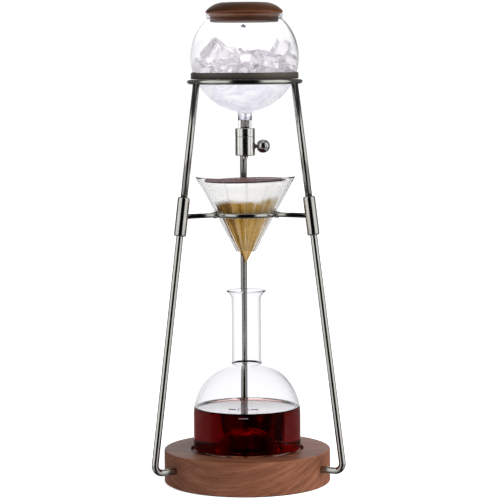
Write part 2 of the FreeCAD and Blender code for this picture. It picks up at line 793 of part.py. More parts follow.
def inlet_spigot():
    """Metal spigot in the stub that carries the water to the needle."""
    turned("inlet_spigot", [
        ("inlet_bore_radius", "inlet_foot"),
        ("inlet_radius", "inlet_foot"),
        ("inlet_radius", "inlet_top"),
        ("screen_radius + running_fit", "inlet_top"),
        ("screen_radius + running_fit", "inlet_top - screen_thickness"),
        ("inlet_bore_radius + 1", "inlet_top - screen_thickness"),
        ("inlet_bore_radius", "inlet_top - screen_thickness - screen_radius")])


def inlet_screen():
    """Small strainer disc let into the top of the spigot."""
    body = turned("inlet_screen", [
        ("0", "inlet_top - screen_thickness"),
        ("screen_radius", "inlet_top - screen_thickness"),
        ("screen_radius", "inlet_top"),
        ("0", "inlet_top")])
    hole = new_sketch(body, "XY_Plane", "inlet_top")
    draw_circle(hole, "screen_hole_pitch", "0", "screen_hole_diameter / 2")
    pocket = add_feature(body, "Pocket", hole, Length="screen_thickness")
    repeat_about_z(body, [pocket], "screen_hole_count")


def cross_turned(label, items):
    """Sub-part turned about the spindle's axis, which runs along X at the spindle's height."""
    body = keep(new_body(label, height="spindle_height"))
    revolve(body, items, axis="H_Axis")
    return body


def needle_spindle():
    """Stem with a needle point that closes the passage."""
    cross_turned("needle_spindle", [
        ("needle_tip", "0"),
        ("needle_root", "spindle_radius"),
        ("spindle_end", "spindle_radius"),
        ("spindle_end", "0")])


def spindle_seals():
    """Two O-rings round the stem, side by side in the gland."""
    for number in (1, 2):
        body = keep(new_body(f"spindle_seal_{number}", height="spindle_height"))
        sketch = new_sketch(body, "XZ_Plane")
        draw_circle(sketch, f"gland_floor + running_fit + spindle_seal_section * ({number} - 0.5)",
                    "seal_centre", "spindle_seal_section / 2")
        add_feature(body, "Revolution", sketch, ReferenceAxis=(sketch, ["H_Axis"]), Angle=360.0)


def packing_nut():
    """Gland nut that presses on the seals and guides the stem."""
    cross_turned("packing_nut", [
        ("valve_radius - packing_nut_length", "spindle_radius + running_fit"),
        ("valve_radius - packing_nut_length", "gland_radius - running_fit"),
        ("valve_radius - valve_edge_round", "gland_radius - running_fit"),
        ("valve_radius + packing_nut_proud", "packing_nut_nose"),
        ("valve_radius + packing_nut_proud", "spindle_radius + running_fit")])


def knob_ball():
    """Ball knob on the end of the stem."""
    cross_turned("knob_ball", [
        ("knob_face", "spindle_radius + running_fit"),
        ("knob_face", "sqrt(knob_radius ^ 2 - knob_shoulder ^ 2)"),
        Bow("knob_radius", ("knob_reach", "0")),
        ("knob_reach + knob_radius", "0"),
        ("spindle_end + running_fit", "0"),
        ("spindle_end + running_fit", "spindle_radius + running_fit")])


# ---------------------------------------------------------------- water globe and lid


def water_globe():
    """Blown glass globe with a wide mouth, an outlet stub below and a vent hole at the front."""
    body = keep(new_body("water_globe", turn="-vent_turn"))
    glass = revolve(body, [
        ("stub_bore", "pocket_floor + washer_thickness + running_fit"),
        ("stub_radius", "pocket_floor + washer_thickness + running_fit"),
        ("stub_radius", "stub_root"),
        Bow("globe_radius", ("0", "globe_height")),
        ("rim_radius", "rim_foot"),
        ("rim_radius", "globe_rim", "rim_round"),
        ("mouth_radius", "globe_rim", "rim_round"),
        ("mouth_radius", "mouth_foot"),
        Bow("globe_bore", ("0", "globe_height")),
        ("stub_bore", "stub_bore_root")])
    round_edges(body, glass, "stub_radius", "stub_root_round", height="stub_root")
    vent = new_sketch(body, "XZ_Plane")
    draw_circle(vent, "0", "globe_height + vent_rise", "vent_diameter / 2")
    add_feature(body, "Pocket", vent, Reversed=True, Length="globe_radius")


def globe_lid():
    """Turned walnut lid: plug in the mouth, bevelled overhang and domed top."""
    edge = "mouth_radius + lid_overhang"
    rise = "lid_seat + lid_edge_rise + lid_edge_band"
    crown = "lid_top - lid_crown_drop"
    turned("globe_lid", [
        ("0", "lid_plug_bottom"),
        ("lid_plug_radius", "lid_plug_bottom", "rim_round"),
        ("lid_plug_radius", "lid_seat"),
        ("mouth_radius + lid_seat_width", "lid_seat"),
        (edge, "lid_seat + lid_edge_rise"),
        (edge, rise),
        Bow("lid_bow_radius", ("0", "lid_plug_bottom")),
        ("lid_crown_radius", crown),
        ("0", "lid_top")])


def lid_gasket():
    """Silicone ring round the lid's plug."""
    turned("lid_gasket", [
        ("lid_plug_radius + running_fit", "lid_seat - running_fit - gasket_height"),
        ("mouth_radius - rest_gap", "lid_seat - running_fit - gasket_height", "rim_round / 2"),
        ("mouth_radius - rest_gap", "lid_seat - running_fit - 1.5 * rim_round"),
        ("lid_plug_radius + running_fit", "lid_seat - running_fit - 1.5 * rim_round")])


base_disc()
base_pad()
leg_screws()
legs()
bar_ring("dripper_ring", "dripper_ring_radius", "ring_height", "dripper_ring_bar")
bar_ring("globe_ring", "globe_ring_radius", "globe_ring_height", "globe_ring_bar")
globe_cushion()
flask()
dripper_cone()
paper_filter()
disperser_disc()
drip_nozzle()
valve_body()
valve_cap_nut()
seals()
inlet_spigot()
inlet_screen()
needle_spindle()
spindle_seals()
packing_nut()
knob_ball()
water_globe()
globe_lid()
lid_gasket()
doc.recompute()

# ---------------------------------------------------------------- checks and files

for thing in doc.Objects:
    for state in ("Invalid", "Error"):
        if state in thing.State:
            raise RuntimeError(f"{thing.Name} is {state}")
for body in SUBPARTS:
    if body.Shape.isNull() or not body.Shape.isValid() or not body.Shape.Solids:
        raise RuntimeError(f"{body.Label} has no valid solid")

os.makedirs("parts", exist_ok=True)
for body in SUBPARTS:
    body.Shape.exportStep(f"parts/{body.Label}.step")
print(f"{len(SUBPARTS)} sub-parts, {value('lid_top'):.1f} mm high,"
      f" legs leaning {value('leg_lean'):.2f} degrees")
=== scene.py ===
# %% [markdown]
# # Cold drip coffee tower
# A cold drip tower brews coffee with ice water and patience. Melt water leaves the glass globe through
# a needle valve, drop by drop, soaks through ground coffee in a paper cone, and falls into the flask on
# the walnut base. This lesson dresses the tower, from its base up to its lid.
#
# The solids of the tower come first, as a frame that says where everything is. Each step then makes
# one real piece, in metres, in the place that the frame gives it.

import math

import bmesh
import bpy
from mathutils import Matrix, Vector, noise


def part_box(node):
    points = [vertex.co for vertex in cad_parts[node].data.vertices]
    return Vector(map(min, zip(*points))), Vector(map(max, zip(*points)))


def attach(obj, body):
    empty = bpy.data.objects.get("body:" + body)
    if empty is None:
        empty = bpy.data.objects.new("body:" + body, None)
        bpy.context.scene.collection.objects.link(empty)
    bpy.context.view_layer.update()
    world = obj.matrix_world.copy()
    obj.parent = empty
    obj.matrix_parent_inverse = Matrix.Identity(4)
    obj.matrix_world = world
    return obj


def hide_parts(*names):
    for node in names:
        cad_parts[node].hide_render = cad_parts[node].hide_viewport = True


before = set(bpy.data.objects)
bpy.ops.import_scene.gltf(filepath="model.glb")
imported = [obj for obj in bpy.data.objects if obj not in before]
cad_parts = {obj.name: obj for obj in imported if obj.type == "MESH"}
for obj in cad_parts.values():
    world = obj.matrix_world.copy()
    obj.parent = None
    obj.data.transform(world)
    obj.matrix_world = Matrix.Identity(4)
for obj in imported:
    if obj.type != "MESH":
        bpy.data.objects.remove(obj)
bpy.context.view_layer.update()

MM = 0.001

# %% [markdown]
# ## Measures
# A turned or blown piece needs only a few measures: its radii and the heights where its shape changes.
# Most of them are read from the frame's boxes, so the visible pieces stay with the solids. A wall's
# thickness or a rounding doesn't show in a box, so it gets a name and a value here.

# %% Measures from the frame
base_low, base_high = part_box("base_disc")
flask_low, flask_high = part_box("flask")
cone_low, cone_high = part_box("dripper_cone")
paper_low, paper_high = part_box("paper_filter")
disc_low, disc_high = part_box("disperser_disc")
globe_low, globe_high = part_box("water_globe")
lid_low, lid_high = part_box("globe_lid")
cushion_low, cushion_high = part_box("globe_cushion")
valve_low, valve_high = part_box("valve_body")
nut_low, nut_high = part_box("valve_cap_nut")
nozzle_low, nozzle_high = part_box("drip_nozzle")
spigot_low, spigot_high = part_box("inlet_spigot")
gland_low, gland_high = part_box("packing_nut")
stem_low, stem_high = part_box("needle_spindle")
knob_low, knob_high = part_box("knob_ball")


def ring_measures(node):
    """Half a ring's bar, its radius to the middle of the bar, and its height."""
    low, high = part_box(node)
    bar = (high.z - low.z) / 2
    return bar, high.x - bar, (high.z + low.z) / 2


ROD = 4.0 * MM
LEAN_FOOT = 124.0 * MM
upper_bar, upper_radius, upper_height = ring_measures("globe_ring")
middle_bar, middle_radius, middle_height = ring_measures("dripper_ring")
socket_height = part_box("lower_leg_rear")[0].z + ROD
LEAN = (LEAN_FOOT - upper_radius) / (upper_height - socket_height)
print("legs lean", round(math.degrees(math.atan(LEAN)), 2), "degrees")


# %% [markdown]
# ## A lathe
# Glass blown in a mould, turned wood and turned metal all share one kind of shape: a profile spun
# about an axis. The helpers below take that profile as corners, each with its own rounding, and as
# bows, which are arcs about a centre.

# %% Arcs
def bow(centre, steps=24):
    """An arc about centre, from the corner before it to the corner after it."""
    return {"centre": Vector(centre), "steps": steps}


def arc_points(start, end, arc):
    """Points on the shorter arc between start and end, both left out."""
    a, b = start - arc["centre"], end - arc["centre"]
    turn = math.atan2(a.x * b.y - a.y * b.x, a.dot(b))
    points = []
    for step in range(1, arc["steps"]):
        share = step / arc["steps"]
        spoke = Matrix.Rotation(turn * share, 2) @ a
        points.append(arc["centre"] + spoke * (1 + share * (b.length / a.length - 1)))
    return points


quarter = arc_points(Vector((1, 0)), Vector((0, 1)), bow((0, 0), 6))
print("a quarter bow in six steps adds", len(quarter), "points")


# %% [markdown]
# A corner is rounded by an arc that touches both its sides. Where a bow's points crowd such a corner they
# are left out, so that the arc has room.

# %% Profiles
def rounded(points, radii):
    """The closed outline with each corner that has a radius replaced by a small arc."""
    result = []
    for index, (point, radius) in enumerate(zip(points, radii)):
        if not radius:
            result.append(point)
            continue
        before, after = points[index - 1], points[(index + 1) % len(points)]
        back, ahead = (before - point).normalized(), (after - point).normalized()
        opening = math.acos(max(-1.0, min(1.0, back.dot(ahead))))
        reach = radius / math.tan(opening / 2)
        centre = point + (back + ahead).normalized() * math.hypot(radius, reach)
        start, end = point + back * reach, point + ahead * reach
        result.append(start)
        steps = max(3, round(math.degrees(math.pi - opening) / 12))
        result.extend(arc_points(start, end, bow(centre, steps)))
        result.append(end)
    return result


def profile(items):
    """Items are (across, up), (across, up, rounding) or bows. Returns a closed outline's points."""
    corners = []
    for index, item in enumerate(items):
        if isinstance(item, dict):
            start = Vector(items[index - 1][:2])
            end = Vector(items[(index + 1) % len(items)][:2])
            corners.extend((point, 0.0) for point in arc_points(start, end, item))
        else:
            corners.append((Vector(item[:2]), item[2] if len(item) > 2 else 0.0))
    kept = []
    for place, (point, radius) in enumerate(corners):
        crowded = any(near_radius and (point - near).length < 0.8 * near_radius and not radius
                      for near, near_radius in (corners[place - 1], corners[(place + 1) % len(corners)]))
        if not crowded or len(items) == len(corners):
            kept.append((point, radius))
    return rounded([point for point, _ in kept], [radius for _, radius in kept])


square = profile([(0, 0, 0.1), (1, 0, 0.1), (1, 1, 0.1), (0, 1, 0.1)])
print("profile of a rounded square has", len(square), "points")


# %% [markdown]
# To spin a profile, each of its points becomes a ring of vertices, and neighbouring rings are joined by
# faces. A point on the axis becomes one shared vertex, so the surface closes without a seam. Sharp
# corners keep a crease, and everything else is shaded smooth.

# %% Spinning a profile
def finish_mesh(name, bm, crease=32.0):
    """Turn a bmesh into an object: outward faces, smooth shading and sharp creases."""
    if bm.calc_volume(signed=True) < 0:
        bmesh.ops.reverse_faces(bm, faces=bm.faces)
    for face in bm.faces:
        face.smooth = True
    for edge in bm.edges:
        if edge.is_manifold and edge.calc_face_angle(0.0) > math.radians(crease):
            edge.smooth = False
    mesh = bpy.data.meshes.new(name)
    bm.to_mesh(mesh)
    bm.free()
    piece = bpy.data.objects.new(name, mesh)
    bpy.context.scene.collection.objects.link(piece)
    return piece


def lathe(name, items, segments=128, place=None, crease=32.0):
    """Spin a closed profile about Z. place moves the result to where it belongs."""
    tiny = 1e-7
    points = profile(items)
    bm = bmesh.new()
    rings = []
    for point in points:
        if point.x < tiny:
            rings.append([bm.verts.new((0.0, 0.0, point.y))])
        else:
            rings.append([bm.verts.new((point.x * math.cos(turn), point.x * math.sin(turn), point.y))
                          for turn in (math.tau * step / segments for step in range(segments))])
    for lower, upper in zip(rings, rings[1:] + rings[:1]):
        for step in range(segments):
            after = (step + 1) % segments
            loop = [lower[step % len(lower)], lower[after % len(lower)],
                    upper[after % len(upper)], upper[step % len(upper)]]
            corners = list(dict.fromkeys(loop))
            if len(corners) > 2:
                bm.faces.new(corners)
    if place is not None:
        bm.transform(place)
    return finish_mesh(name, bm, crease)


print("a ring of 128 vertices turns", 360 / 128, "degrees per step")


# %% [markdown]
# Not every part is turned about the tower's axis. These helpers lay a part along X, for the needle and
# its knob, or stand it on one of the three legs.

# %% Places for turned parts
def along_x(height):
    """Lay the lathe's axis along X at that height."""
    return Matrix.Translation((0, 0, height)) @ Matrix.Rotation(math.radians(90), 4, "Y")


def leg_turn(number):
    """The turn about Z of leg 0, 1 or 2: rear, left and right."""
    return Matrix.Rotation(math.radians(90 + 120 * number), 4, "Z")


def leg_place(number, height):
    """A frame on a leg's centre line at that height, with Z up along the leg."""
    out = LEAN_FOOT - (height - socket_height) * LEAN
    return (leg_turn(number) @ Matrix.Translation((out, 0, height))
            @ Matrix.Rotation(-math.atan(LEAN), 4, "Y"))


foot_spot = leg_place(0, socket_height).translation
print("the rear leg's foot is", round(foot_spot.y / MM), "mm behind the axis")


# %% [markdown]
# ## Node helpers
# Materials and Geometry Nodes are both graphs of nodes. A short helper that adds one node and fills its
# inputs, either with a value or with another node's output, keeps each graph as readable as a recipe.

# %% Node helpers
def put(socket, value):
    """Link an output to a socket, or set the socket. A colour may have three numbers."""
    if isinstance(value, bpy.types.NodeSocket):
        socket.id_data.links.new(value, socket)
    elif socket.type == "RGBA" and len(value) == 3:
        socket.default_value = (*value, 1.0)
    else:
        socket.default_value = value


def add_node(tree, kind, settings=None, **inputs):
    """Add a node. Inputs are named by their socket, with _ for a space, and take a value or a socket."""
    made = tree.nodes.new(kind)
    for key, value in (settings or {}).items():
        setattr(made, key, value)
    for key, value in inputs.items():
        if key[0] == "i" and key[1:].isdigit():
            socket = made.inputs[int(key[1:])]
        else:
            socket = made.inputs[key.replace("_", " ")]
        put(socket, value)
    return made


def tree_of(*values):
    """The tree that the first output among these values belongs to."""
    return next(value.id_data for value in values if isinstance(value, bpy.types.NodeSocket))


def ramp(factor, *stops):
    """A colour ramp through stops of (position, colour)."""
    made = add_node(factor.id_data, "ShaderNodeValToRGB", Fac=factor)
    band = made.color_ramp
    for index, (position, colour) in enumerate(stops):
        stop = band.elements[index] if index < 2 else band.elements.new(position)
        stop.position = position
        stop.color = (*colour, 1.0)
    return made.outputs["Color"]


def grey(level):
    """A grey colour."""
    return (level, level, level)


def scaled(colour, share):
    """A colour made darker or lighter by a share."""
    return [share * level for level in colour]


def math_node(operation, first, second=0.0):
    """One step of arithmetic between outputs or numbers."""
    made = add_node(tree_of(first, second), "ShaderNodeMath", {"operation": operation}, i0=first, i1=second)
    return made.outputs["Value"]


def product(first, second):
    """First times second."""
    return math_node("MULTIPLY", first, second)


def total(first, second):
    """First plus second."""
    return math_node("ADD", first, second)


def mixed(factor, first, second, blend="MIX"):
    """Mix two colours."""
    made = tree_of(factor, first, second).nodes.new("ShaderNodeMix")
    made.data_type = "RGBA"
    made.blend_type = blend
    for number, value in ((0, factor), (6, first), (7, second)):
        put(made.inputs[number], value)
    return made.outputs[2]


print("grey(0.5) is", grey(0.5))

# %% [markdown]
# A material starts from the Principled shader and Object coordinates, so that its pattern sits in the
# piece like grain in wood. Noise, stretched or not, gives most of the unevenness of real surfaces.

# %% Material helpers
def fill(shader, **inputs):
    """Fill a shader's inputs, named with _ for a space, from numbers, colours or sockets."""
    for key, value in inputs.items():
        put(shader.inputs[key.replace("_", " ")], value)


def new_material(name):
    """An empty material, its Principled shader and Object coordinates."""
    made = bpy.data.materials.new(name)
    made.use_nodes = True
    place = add_node(made.node_tree, "ShaderNodeTexCoord").outputs["Object"]
    return made, made.node_tree.nodes["Principled BSDF"], place


def stretched(place, scale, turn=(0.0, 0.0, 0.0)):
    """Object coordinates, turned and then scaled, so that a pattern runs along the piece."""
    for settings in ({"Rotation": turn}, {"Scale": scale}):
        place = add_node(place.id_data, "ShaderNodeMapping", Vector=place, **settings).outputs["Vector"]
    return place


def speckle(place, scale, detail=4.0, roughness=0.55, distortion=0.0):
    """Noise between 0 and 1."""
    made = add_node(place.id_data, "ShaderNodeTexNoise", Vector=place, Scale=scale, Detail=detail,
                    Roughness=roughness, Distortion=distortion)
    return made.outputs["Fac"]


def bump(shader, height, distance):
    """Raise the surface, in looks only, by height times distance."""
    made = add_node(shader.id_data, "ShaderNodeBump", Height=height, Distance=distance)
    put(shader.inputs["Normal"], made.outputs["Normal"])


def between(value, low, high, new_low, new_high):
    """Map a value from one range to another."""
    made = add_node(value.id_data, "ShaderNodeMapRange", Value=value, From_Min=low, From_Max=high,
                    To_Min=new_low, To_Max=new_high)
    return made.outputs["Result"]


def paint(piece, material):
    """Give a piece one material."""
    piece.data.materials.clear()
    piece.data.materials.append(material)


print("materials so far:", len(bpy.data.materials))

# %% [markdown]
# ## Walnut
# The base and the lid are turned from walnut: a brown ground, darker growth rings that a saw cut
# stretches into long flames, and short dark pores along the grain. Noise that is stretched along one
# axis gives the fibres, and a wave that another noise bends gives the rings. Oil leaves the base satin,
# and the lid has a deeper colour.

# %% Walnut
def walnut(name, tones, ring_scale, roughness, turns, painted_light_share, pale, gloss):
    """Walnut. The share function says how far each place goes to painted light, the tone that is pale times
    the middle.
    """
    material, shader, place = new_material(name)
    dark, middle, light = tones
    turn = [math.radians(degrees) for degrees in turns]
    fibre = speckle(stretched(place, (10.0, 50.0, 520.0), turn), 1.0, 4.0, 0.6)
    along = stretched(place, (2.4, 8.0, 24.0), turn)
    rings = add_node(place.id_data, "ShaderNodeTexWave", {"wave_type": "BANDS", "bands_direction": "Z"},
                     Vector=along, Scale=ring_scale, Distortion=14.0, Detail=4.0, Detail_Scale=1.4,
                     Detail_Roughness=0.7).outputs["Fac"]
    streak = speckle(stretched(place, (4.0, 16.0, 170.0), turn), 1.0, 4.0, 0.6, 0.4)
    cloud = speckle(stretched(place, (3.0, 9.0, 30.0), turn), 1.0, 3.0, 0.5)
    grain = product(rings, 0.08)
    for part, weight in ((fibre, 0.44), (streak, 0.44), (cloud, 0.22)):
        grain = total(grain, product(part, weight))
    colour = ramp(grain, (0.39, dark), (0.55, middle), (0.73, light))
    # Painted light: the share takes each place towards a paler tone.
    colour = mixed(painted_light_share(place), colour, scaled(middle, pale))
    pores = speckle(stretched(place, (55.0, 260.0, 900.0), turn), 1.0, 2.0, 0.5)
    pits = between(pores, 0.60, 0.70, 0.0, 1.0)
    fill(shader, Specular_IOR_Level=gloss,
         Base_Color=mixed(product(pits, 0.40), colour, scaled(dark, 0.45)),
         Roughness=between(fibre, 0.3, 0.7, roughness - 0.06, roughness + 0.10))
    height = math_node("SUBTRACT", product(fibre, 0.3), pits)
    bump(shader, height, 0.06 * MM)
    return material


print("the pores repeat about every", round(1000 / 55), "mm along the grain")


# %% [markdown]
# Some places on the wood get painted light: a painted highlight on the base's upper edge, painted light that
# takes the shade out of the recess, and a paler lid plug for light that comes through the glass mouth. A
# share from 0 to 1 says how pale each place is.

# %% Painted light on the wood
def from_axis(place):
    """Distance from the tower's axis, and height."""
    split = add_node(place.id_data, "ShaderNodeSeparateXYZ", Vector=place).outputs
    squares = [product(split[axis], split[axis]) for axis in "XY"]
    return math_node("SQRT", total(*squares)), split["Z"]


RECESS_RADIUS = 65.5 * MM
EDGE_ROUND = 1.6 * MM


def base_painted_light(place):
    """Painted light: a painted highlight along the base's upper edge, and the recess painted paler to take
    out its shade.
    """
    out, up = from_axis(place)
    top, rim = base_high.z, base_high.x
    edge = product(between(up, top - EDGE_ROUND, top - 0.4 * MM, 0.0, 1.0),
                   between(out, rim - EDGE_ROUND, rim - 0.9 * MM, 0.0, 0.4))
    recess_painted_light = product(between(up, top - 0.6 * MM, top - 0.1 * MM, 1.0, 0.0),
                     between(out, RECESS_RADIUS + 0.2 * MM, RECESS_RADIUS + 0.6 * MM, 1.0, 0.0))
    return total(edge, recess_painted_light)


def lid_painted_light(place):
    """Painted light: the plug, inside the glass mouth, is paler than the crown, for light that comes in
    through the glass rim.
    """
    up = from_axis(place)[1]
    mouth = globe_high.z
    plug = between(up, mouth - 7.0 * MM, mouth - 3.5 * MM, 0.45, 1.0)
    return product(plug, between(up, mouth + 1.0 * MM, mouth + 2.2 * MM, 1.0, 0.0))


BASE_TONES = ((0.086, 0.030, 0.016), (0.152, 0.055, 0.028), (0.219, 0.089, 0.048))
LID_TONES = ((0.020, 0.0075, 0.0035), (0.044, 0.0145, 0.005), (0.076, 0.027, 0.010))
base_walnut = walnut("walnut", BASE_TONES, 1.2, 0.48, (-30, 11, 0), base_painted_light, 2.0, 0.12)
lid_walnut = walnut("walnut_lid", LID_TONES, 0.8, 0.45, (-14, 4, 0), lid_painted_light, 3.4, 0.10)
print("woods:", base_walnut.name, lid_walnut.name)

# %% [markdown]
# ## Metals
# The stand is plated dark and polished, so it mirrors the studio: black where it faces the room, and
# light stripes from the lamps. The valve and its knob are bright chrome. Real plating is never quite
# even, so a fine noise moves the roughness a little.

# %% Metals
def plated(name, colour, roughness, unevenness=0.03):
    """Polished metal, a little uneven."""
    material, shader, place = new_material(name)
    cloud = speckle(place, 60.0, 5.0, 0.6)
    fine = speckle(place, 900.0, 2.0, 0.5)
    fill(shader, Metallic=1.0,
         Base_Color=mixed(between(cloud, 0.35, 0.7, 0.0, 1.0), colour, scaled(colour, 0.9)),
         Roughness=between(fine, 0.3, 0.7, roughness, roughness + unevenness))
    bump(shader, cloud, 0.004 * MM)
    return material


gunmetal = plated("gunmetal", (0.34, 0.335, 0.315), 0.13)
valve_chrome = plated("valve_chrome", (0.50, 0.49, 0.47), 0.17)
knob_chrome = plated("knob_chrome", (0.34, 0.34, 0.33), 0.13)
spindle_steel = plated("spindle_steel", (0.24, 0.23, 0.22), 0.22)
spigot_steel = plated("spigot_steel", (0.20, 0.18, 0.17), 0.30)
screw_steel = plated("screw_steel", (0.60, 0.60, 0.60), 0.30, 0.10)
print("metals:", gunmetal.name, valve_chrome.name, knob_chrome.name, spindle_steel.name)


# %% [markdown]
# ## Soft parts
# The globe sits in a grey silicone ring, and smaller seals hide in the valve and round the lid. A
# rubber pad under the base keeps it from sliding. Silicone lets a little light in, so it gets some
# subsurface light and a dull sheen. The pad is matte black, with a fine pebble.

# %% Silicone and rubber
def silicone(name, colour, roughness, subsurface=0.15, gloss=0.5):
    """A soft, dull material that lets some light in."""
    material, shader, place = new_material(name)
    cloud = speckle(place, 90.0, 4.0, 0.6)
    fine = speckle(place, 700.0)
    fill(shader, Base_Color=mixed(cloud, colour, scaled(colour, 0.8)),
         Roughness=between(fine, 0.3, 0.7, roughness, roughness + 0.12),
         Subsurface_Weight=subsurface, Subsurface_Scale=1.5 * MM, Specular_IOR_Level=gloss)
    bump(shader, speckle(place, 1200.0), 0.01 * MM)
    return material


cushion_silicone = silicone("cushion_silicone", (0.042, 0.034, 0.026), 0.45)
seal_silicone = silicone("seal_silicone", (0.05, 0.05, 0.05), 0.45)
gasket_silicone = silicone("gasket_silicone", (0.32, 0.115, 0.042), 0.5, 0.2, 0.05)
pad_rubber = silicone("pad_rubber", (0.022, 0.022, 0.022), 0.75, 0.0)
print("soft parts:", cushion_silicone.name, gasket_silicone.name, pad_rubber.name)


# %% [markdown]
# ## Glass
# Blown glass is clear, with a faint wave in its surface; pressed glass, as in the dripper, is a little
# less even. The vessels have real walls with an inside and an outside, so light bends in them. Their
# walls also take a little light along its path, which draws each outline grey where the path is long.
# The indices lie below that of real glass, which keeps those outlines thin.

# %% Glass
def see_through(name, tint, index, roughness=0.0, sheen=0.0):
    """A clear material. sheen scales what it mirrors head-on."""
    material, shader, place = new_material(name)
    fill(shader, Base_Color=tint, IOR=index, Roughness=roughness, Transmission_Weight=1.0,
         Specular_Tint=grey(sheen))
    return material, shader, place


def deepen(shader, colour, density):
    """Let the inside of a material take light away along its path."""
    tree = shader.id_data
    soak_up = add_node(tree, "ShaderNodeVolumeAbsorption", Color=colour, Density=density)
    put(tree.nodes["Material Output"].inputs["Volume"], soak_up.outputs["Volume"])


def glass(name, tint, index, density, wave_size, sheen):
    """Clear glass with a faint wave, which takes light away by its density."""
    material, shader, place = see_through(name, tint, index, 0.0, sheen)
    bump(shader, speckle(place, wave_size, 2.0, 0.4), 0.05 * MM)
    deepen(shader, (0.10, 0.10, 0.16), density)
    return material, shader, place


def flecked(name, grain, first, second, **inputs):
    """A plain material whose colour wanders between two tones."""
    material, shader, place = new_material(name)
    fill(shader, Base_Color=mixed(speckle(place, grain), first, second), **inputs)
    return material


FLASK_TINT = (0.98, 0.98, 0.995)
clear_glass = glass("clear_glass", (0.985, 0.985, 0.997), 1.35, 10.0, 12.0, 0.5)[0]
pressed_glass = glass("pressed_glass", (0.99, 0.99, 0.99), 1.16, 6.0, 60.0, 0.3)[0]
flask_glass, shader, place = glass("flask_glass", FLASK_TINT, 1.22, 13.0, 14.0, 0.0)
# The vent's cut faces: rough ground glass, coloured near-black as painted shade in the hole.
ground_edge = flecked("ground_edge", 900.0, (0.05, 0.05, 0.07), (0.12, 0.12, 0.15), Roughness=0.7)
print("glasses:", clear_glass.name, flask_glass.name, pressed_glass.name)

# %% [markdown]
# The flask's glass isn't one tint all over, and its extra tints are painted light. Painted shade darkens the
# push-up, which hides the coffee behind it, a painted reflection gives the foot the wood's brown, and painted
# shade makes the thick lip greyer. Distance from the axis and height say where each tint goes.

# %% Painted shade and reflection on the flask
PUNT_SHADE = 27.0 * MM
PUNT_FADE = (24.0 * MM, 28.0 * MM)
FOOT_REFLECTION_FADE = (4.0 * MM, 5.5 * MM)
LIP_SHADE = 1.9 * MM
out, up = from_axis(place)
above_foot = math_node("SUBTRACT", up, flask_low.z)
punt_painted_shade = product(between(out, PUNT_SHADE, PUNT_SHADE + 1.0 * MM, 1.0, 0.0),
                      between(above_foot, *PUNT_FADE, 1.0, 0.0))
foot_painted_reflection = between(above_foot, *FOOT_REFLECTION_FADE, 1.0, 0.0)
lip_painted_shade = between(up, flask_high.z - LIP_SHADE, flask_high.z - LIP_SHADE + 0.5 * MM, 0.0, 1.0)
# Painted shade in the push-up and on the lip, and a painted reflection of the wood in the foot.
tone = FLASK_TINT
for where, tint in ((punt_painted_shade, (0.20, 0.22, 0.22)), (foot_painted_reflection, (0.36, 0.19, 0.11)),
                    (lip_painted_shade, (0.74, 0.74, 0.79))):
    tone = mixed(where, tone, tint)
fill(shader, Base_Color=tone)
print("flask tints from", round(flask_low.z / MM, 1), "to", round(flask_high.z / MM, 1), "mm")

# %% [markdown]
# ## Walnut base
# The base is a thick disc with a shallow recess that centres the flask. On a lathe it is one cut round
# the edge and one into the face, so its profile has six corners, with the rim's edges eased.

# %% Base
RECESS_DEPTH = 4.7 * MM
base_radius = max(base_high.x, base_high.y)
recess_floor = base_high.z - RECESS_DEPTH + 0.3 * MM
base = lathe("base_turned", [
    (0, base_low.z),
    (base_radius, base_low.z, EDGE_ROUND),
    (base_radius, base_high.z, EDGE_ROUND),
    (RECESS_RADIUS, base_high.z, 0.5 * MM),
    (RECESS_RADIUS, recess_floor, 0.8 * MM),
    (0, recess_floor)], segments=192)
paint(base, base_walnut)
print("base is", round(2 * base_radius / MM), "mm across")

# %% [markdown]
# ## Legs
# Each leg is an 8 mm rod that enters the base level, bends up round a jig and leans in towards the
# globe. Geometry Nodes make such a rod, and the helpers below begin a tree, end it, and run it once, so
# that only a plain mesh is left.

# %% Helpers for node trees
def group_with(name, sockets):
    """An empty Geometry Nodes tree with named inputs. Returns the tree and its input node's outputs."""
    tree = bpy.data.node_groups.new(name, "GeometryNodeTree")
    tree.interface.new_socket("Geometry", in_out="OUTPUT", socket_type="NodeSocketGeometry")
    tree.interface.new_socket("Geometry", in_out="INPUT", socket_type="NodeSocketGeometry")
    for label, (kind, value) in sockets.items():
        made = tree.interface.new_socket(label, in_out="INPUT", socket_type="NodeSocket" + kind)
        if value is not None:
            made.default_value = value
    return tree, tree.nodes.new("NodeGroupInput").outputs


def close_tree(tree, geometry, material):
    """End a tree: real geometry in place of instances, with its material."""
    real = add_node(tree, "GeometryNodeRealizeInstances", Geometry=geometry)
    dressed = add_node(tree, "GeometryNodeSetMaterial", Geometry=real.outputs["Geometry"], Material=material)
    tree.links.new(dressed.outputs["Geometry"], tree.nodes.new("NodeGroupOutput").inputs["Geometry"])


def gather(tree, kind, socket, parts):
    """A node that joins several parts in one socket."""
    made = tree.nodes.new(kind)
    for part in parts:
        tree.links.new(part, made.inputs[socket])
    return made


